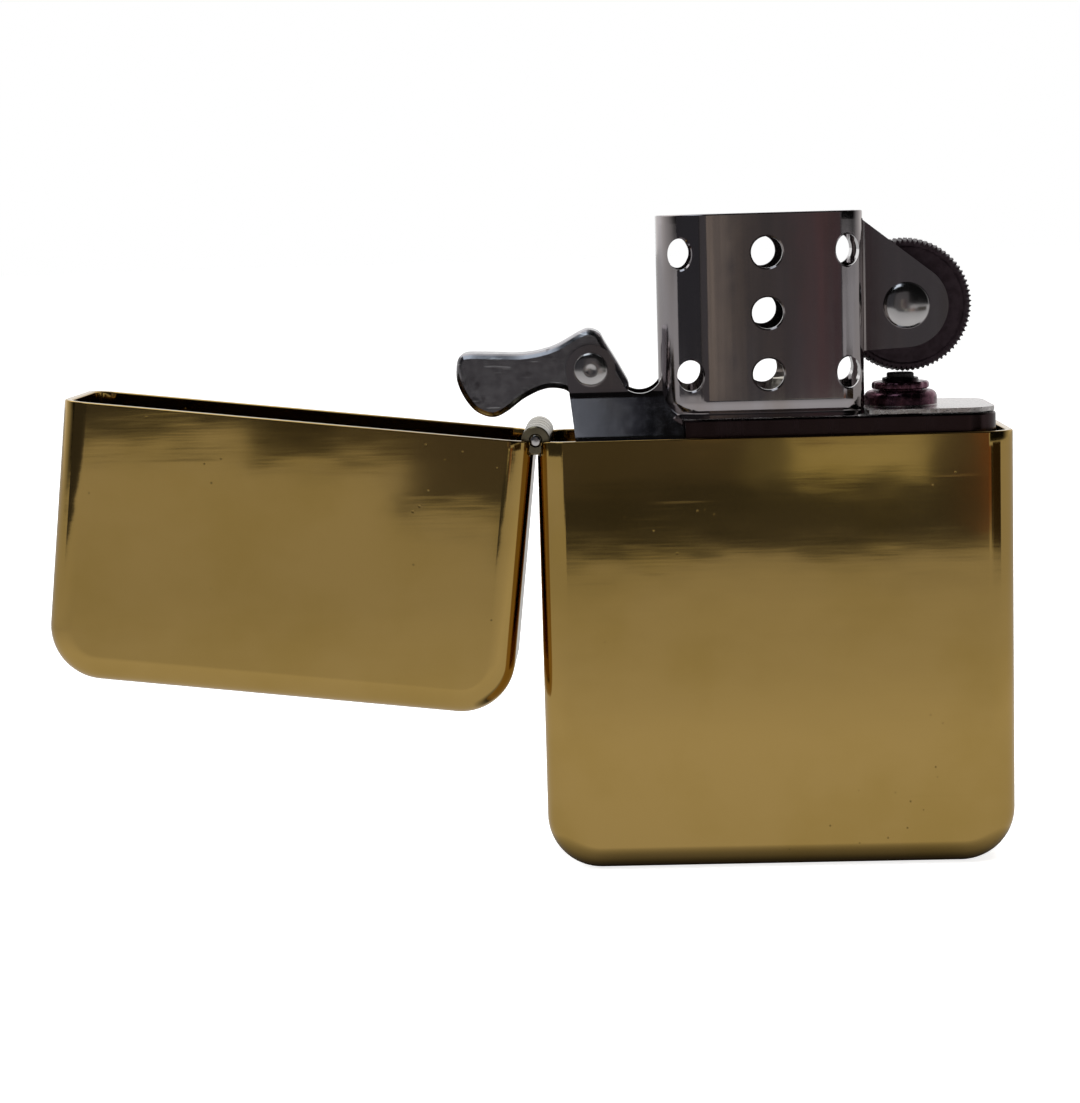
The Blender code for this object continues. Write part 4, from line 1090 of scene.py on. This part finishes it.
def soft_block(node, name, finish, ruffle):
    """A soft filling block: its frame solid's shape, crowned and ruffled a little inward."""
    low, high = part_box(node)
    corner = TANK_CORNER - TANK_WALL - 0.3 * MM
    outline = rounded_box(low.x, high.x, high.y, corner, corner, 8)
    mesh = prism(outline, low.z, high.z, "Z", min(0.7 * MM, (high.z - low.z) / 3), 4)
    bmesh.ops.triangulate(mesh, faces=[f for f in mesh.faces if len(f.verts) > 4])
    for _ in range(3):
        long_edges = [e for e in mesh.edges if e.calc_length() > SOFT_SPACING]
        bmesh.ops.subdivide_edges(mesh, edges=long_edges, cuts=1, use_grid_fill=True)
        bmesh.ops.triangulate(mesh, faces=[f for f in mesh.faces if len(f.verts) > 4])
    mesh.normal_update()
    for vert in mesh.verts:
        push = noise.noise(vert.co * 900) * 0.5 + noise.noise(vert.co * 2500) * 0.5
        vert.co -= vert.normal * ruffle * (1 + push) / 2
    made = link(name, mesh, 60)
    if node == "felt_pad":
        bore(made, FELT_HOLE, (FLINT.x, 0), 40, "Z", (low.z - MM, high.z + MM))
    finish_piece(made, node, finish, 60)


def make_filling():
    for number in (1, 2, 3, 4):
        soft_block(f"cotton_wad_{number}", f"stuffing_{number}", COTTON, 0.35 * MM)
    soft_block("felt_pad", "felt_bottom", FELT, 0.12 * MM)


# ---- light, floor, camera


def glow(name, colour):
    """A glowing material, with its emission node for anything that varies over it."""
    made = bpy.data.materials.new(name)
    made.use_nodes = True
    tree = made.node_tree
    tree.nodes.clear()
    emission = new_node(tree, "Emission", {"Color": colour, "Strength": 1.0})
    new_node(tree, "OutputMaterial", {"Surface": emission.outputs["Emission"]})
    return made, emission


def stage_object(name, data, finish, rays):
    """A piece of the stage that only the named kinds of ray can see."""
    data.materials.append(finish)
    made = add_object(name, data)
    for ray in ("camera", "diffuse", "glossy", "transmission", "volume_scatter", "shadow"):
        setattr(made, f"visible_{ray}", ray in rays)


def sheet_object(name, corners, finish, rays=("glossy",)):
    """A flat sheet, seen only in polished surfaces unless other rays are named."""
    data = bpy.data.meshes.new(name)
    data.from_pydata(corners, [], [tuple(range(len(corners)))])
    stage_object(name, data, finish, rays)


def ramp_node(tree, value, stops):
    """Grey levels along a value that runs from 0 to 1."""
    ramp = new_node(tree, "ValToRGB", {"Fac": value})
    for i, (place, level) in enumerate(stops):
        stop = ramp.color_ramp.elements[i] if i < 2 else ramp.color_ramp.elements.new(place)
        stop.position = place
        stop.color = (level, level, level, 1)
    return ramp.outputs["Color"]


FLOOR_LEVEL = CASE_LOW.z - 0.02 * MM
FLOOR_CORNERS = rectangle((-3.0, 3.0), (-3.0, 3.0))
FLOOR_GREYS = (  # (share of 400 mm from the case, grey level) of the floor in metal
    (0.0, 0.57), (0.07, 0.6), (0.14, 0.62), (0.19, 0.575), (0.25, 0.53),
    (0.33, 0.5), (0.42, 0.46), (0.5, 0.46), (1.0, 0.5),
)


def make_floor():
    white = bpy.data.materials.new("floor_white")
    white.use_nodes = True
    tree = white.node_tree
    values = {"Base Color": (0.9, 0.9, 0.9), "Roughness": 1.0, "Specular IOR Level": 0.0}
    values |= {"Emission Color": (1, 1, 1), "Emission Strength": 0.82}
    for name, value in values.items():
        fill(tree, tree.nodes["Principled BSDF"].inputs[name], value)
    corners = [(x, y, FLOOR_LEVEL) for x, y in FLOOR_CORNERS]
    sheet_object("floor", corners, white, ("camera", "diffuse", "shadow"))


def make_floor_in_metal():
    """The table as polished metal shows it: dimmer further off, dark close under the case."""
    finish, emission = glow("floor_in_metal", (1, 1, 1))
    tree = finish.node_tree
    place = place_in(tree)
    beyond = math_node(tree, "SUBTRACT", math_node(tree, "ABSOLUTE", place["X"]), 0.03)
    beyond = math_node(tree, "MAXIMUM", beyond, 0.0)
    away = [math_node(tree, "POWER", distance, 2) for distance in (beyond, place["Y"])]
    away = math_node(tree, "SQRT", math_node(tree, "ADD", *away))
    grey = ramp_node(tree, math_node(tree, "DIVIDE", away, 0.4), FLOOR_GREYS)
    shade = new_node(tree, "AmbientOcclusion", {"Distance": 5 * MM})
    dark = math_node(tree, "POWER", shade.outputs["AO"], 2.2)
    fill(tree, emission.inputs["Color"], mix_node(tree, dark, (0.01, 0.008, 0.006), grey))
    sheet_object("floor_in_metal", [(x, y, FLOOR_LEVEL + 0.01 * MM) for x, y in FLOOR_CORNERS], finish)


WORLD_GREYS = (  # (share of the way from the front to the back, grey level)
    (0.0, 0.006), (0.33, 0.006), (0.42, 0.12), (0.5, 0.3), (0.62, 0.5), (0.8, 0.9), (1.0, 0.95),
)


def make_world():
    """Dark in front and overhead, light at the sides and white behind."""
    world = bpy.data.worlds.new("studio")
    world.use_nodes = True
    tree = world.node_tree
    place = place_in(tree, "Generated")
    lean = math_node(tree, "SUBTRACT", place["Y"], math_node(tree, "MULTIPLY", place["Z"], 0.4))
    back = math_node(tree, "ADD", math_node(tree, "MULTIPLY", lean, 0.5), 0.5)
    fill(tree, tree.nodes["Background"].inputs["Color"], ramp_node(tree, back, WORLD_GREYS))
    bpy.context.scene.world = world


def make_backdrop():
    """The white dome round everything, seen by the camera only."""
    dome = bmesh.new()
    bmesh.ops.create_uvsphere(dome, u_segments=48, v_segments=24, radius=2.9)
    data = bpy.data.meshes.new("backdrop")
    dome.to_mesh(data)
    dome.free()
    stage_object("backdrop", data, glow("backdrop_white", (1, 1, 1))[0], ("camera",))


ROOM = (  # sheets beyond the table's front edge: left, right, low, high in mm, colour
    (-31, 44, 0, 12, (0.042, 0.043, 0.046)),
    (-48, -31, 8, 12, (0.05, 0.05, 0.05)),
    (-46, 44, 12, 140, (0.088, 0.083, 0.086)),
    (-56, -45, 17, 140, (0.085, 0.08, 0.08)),
    (-70, -56, 17, 140, (0.035, 0.033, 0.033)),
    (6, 14, 11, 20, (0.16, 0.16, 0.14)),
    (13, 34, 11, 20, (0.5, 0.5, 0.42)),
    (-2.6, 3, 21, 75, (0.36, 0.3, 0.24)),
    (16, 20, 21, 75, (0.16, 0.09, 0.09)),
    (20, 26, 21, 60, (0.05, 0.035, 0.04)),
    (41, 75, 4, 21, (0.2, 0.09, 0.05)),
    (75, 100, 0, 21, (0.03, 0.025, 0.02)),
)
ROOM_DISTANCE = 197 * MM
SCREEN_DISTANCE = 200 * MM
CARD_HEIGHT = 250 * MM


def curved_screen(name, colour, start, step, count, low, high):
    """Upright sheets along part of a circle round the lighter, angles in degrees."""
    finish = glow(name, colour)[0]
    feet = arc(0, 0, SCREEN_DISTANCE, start, start + step * count, count)
    for number, (one, two) in enumerate(zip(feet, feet[1:])):
        corners = [(*one, low), (*two, low), (*two, high), (*one, high)]
        sheet_object(f"{name}_{number}", corners, finish)


def overhead_card(name, x, y, start, width, stops, dim, bright):
    """A level card whose glow changes with x, from a start over a width."""
    finish, emission = glow(name, bright)
    tree = finish.node_tree
    across = math_node(tree, "SUBTRACT", place_in(tree)["X"], start)
    level = ramp_node(tree, math_node(tree, "DIVIDE", across, width), stops)
    fill(tree, emission.inputs["Color"], mix_node(tree, level, dim, bright))
    sheet_object(name, [(*corner, CARD_HEIGHT) for corner in rectangle(x, y)], finish)


def make_room():
    """What the polished faces show of the room, as plain sheets, screens and cards."""
    for number, (left, right, low, high, colour) in enumerate(ROOM):
        y = -ROOM_DISTANCE + number * 0.5 * MM
        corners = [(x * MM, y, z * MM) for x, z in rectangle((left, right), (low, high))]
        sheet_object(f"room_{number}", corners, glow(f"room_{number}", colour)[0])
    # Dark screens: round the front left above what the lid shows, and beyond the table's right corner.
    curved_screen("screen", (0.045, 0.045, 0.05), 198, 9, 6, 22 * MM, 160 * MM)
    curved_screen("right_screen", (0.03, 0.02, 0.01), 298, 8, 4, 0, 30 * MM)
    # A dim cool patch straight overhead, fading out to the right.
    stops = ((0.0, 1.0), (0.3, 1.0), (0.42, 0.17), (0.75, 0.15), (0.88, 0.01), (1.0, 0.0))
    dim, bright = (0.004, 0.004, 0.008), (1.1, 1.25, 1.4)
    overhead_card("overhead", (-0.12, -0.008), (-0.14, 0.019), -0.04, 0.032, stops, dim, bright)
    # A soft box above and behind, brightest on the left.
    stops = ((0.0, 1.0), (0.5, 0.6), (0.8, 0.15), (1.0, 0.1))
    dim, bright = (0.0, 0.0, 0.0), (1.5, 1.5, 1.5)
    overhead_card("softbox", (-0.35, 0.02), (0.02, 0.3), -0.05, 0.07, stops, dim, bright)


def make_stage():
    make_floor()
    make_floor_in_metal()
    make_world()
    make_backdrop()
    make_room()


def make_camera():
    """A long lens from just left of centre, looking a little down."""
    data = bpy.data.cameras.new("camera")
    data.lens = 84.86
    data.sensor_width = 36
    data.clip_start = 0.005
    data.clip_end = 20
    camera = add_object("camera", data)
    right = Vector((0.999087, 0.031855, -0.028476))
    down = Vector((-0.02413, -0.129342, -0.991306))
    ahead = Vector((-0.035261, 0.991088, -0.128455))
    turn = Matrix((right, -down, -ahead)).transposed().to_4x4()
    camera.matrix_world = Matrix.Translation((-0.0116232, -0.2125552, 0.0530943)) @ turn
    bpy.context.scene.camera = camera


def make_lights():
    for name, place, size, power, colour in (
        ("top_softbox", (0.05, -0.1, 0.6), 0.5, 4.0, (1, 0.99, 0.97)),
        ("left_softbox", (-0.5, -0.25, 0.3), 0.35, 1.5, (1, 1, 1)),
    ):
        data = bpy.data.lights.new(name, "AREA")
        data.shape = "SQUARE"
        data.size = size
        data.energy = power
        data.color = colour
        lamp = add_object(name, data)
        lamp.location = place
        lamp.rotation_euler = (-Vector(place)).to_track_quat("-Z", "Y").to_euler()
        lamp.visible_glossy = False


make_camera()
make_case()
make_lid()
make_leaf("hinge_leaf_case", range(0, KNUCKLES, 2), -1)
make_leaf("hinge_leaf_lid", range(1, KNUCKLES, 2), 1)
make_pin()
make_tank()
make_flint_plate()
make_chimney()
make_wheel()
make_rivet("wheel_rivet", "wheel_axle", WHEEL, WHEEL_EAR, 0.75 * MM, 1.87 * MM, 0.0)
make_rivet("cam_rivet", "cam_pin", CAM, CAM_EAR, 0.7 * MM, 1.38 * MM, 0.5 * MM)
make_lever()
make_cam_spring()
make_flint_tube()
make_flint()
make_flint_spring()
make_flint_screw()
make_wick()
make_filling()
frame["nodes"]["top_deck"].data.materials.clear()
frame["nodes"]["top_deck"].data.materials.append(TANK_STEEL)
make_stage()
make_lights()
bpy.context.scene.view_settings.view_transform = "Standard"
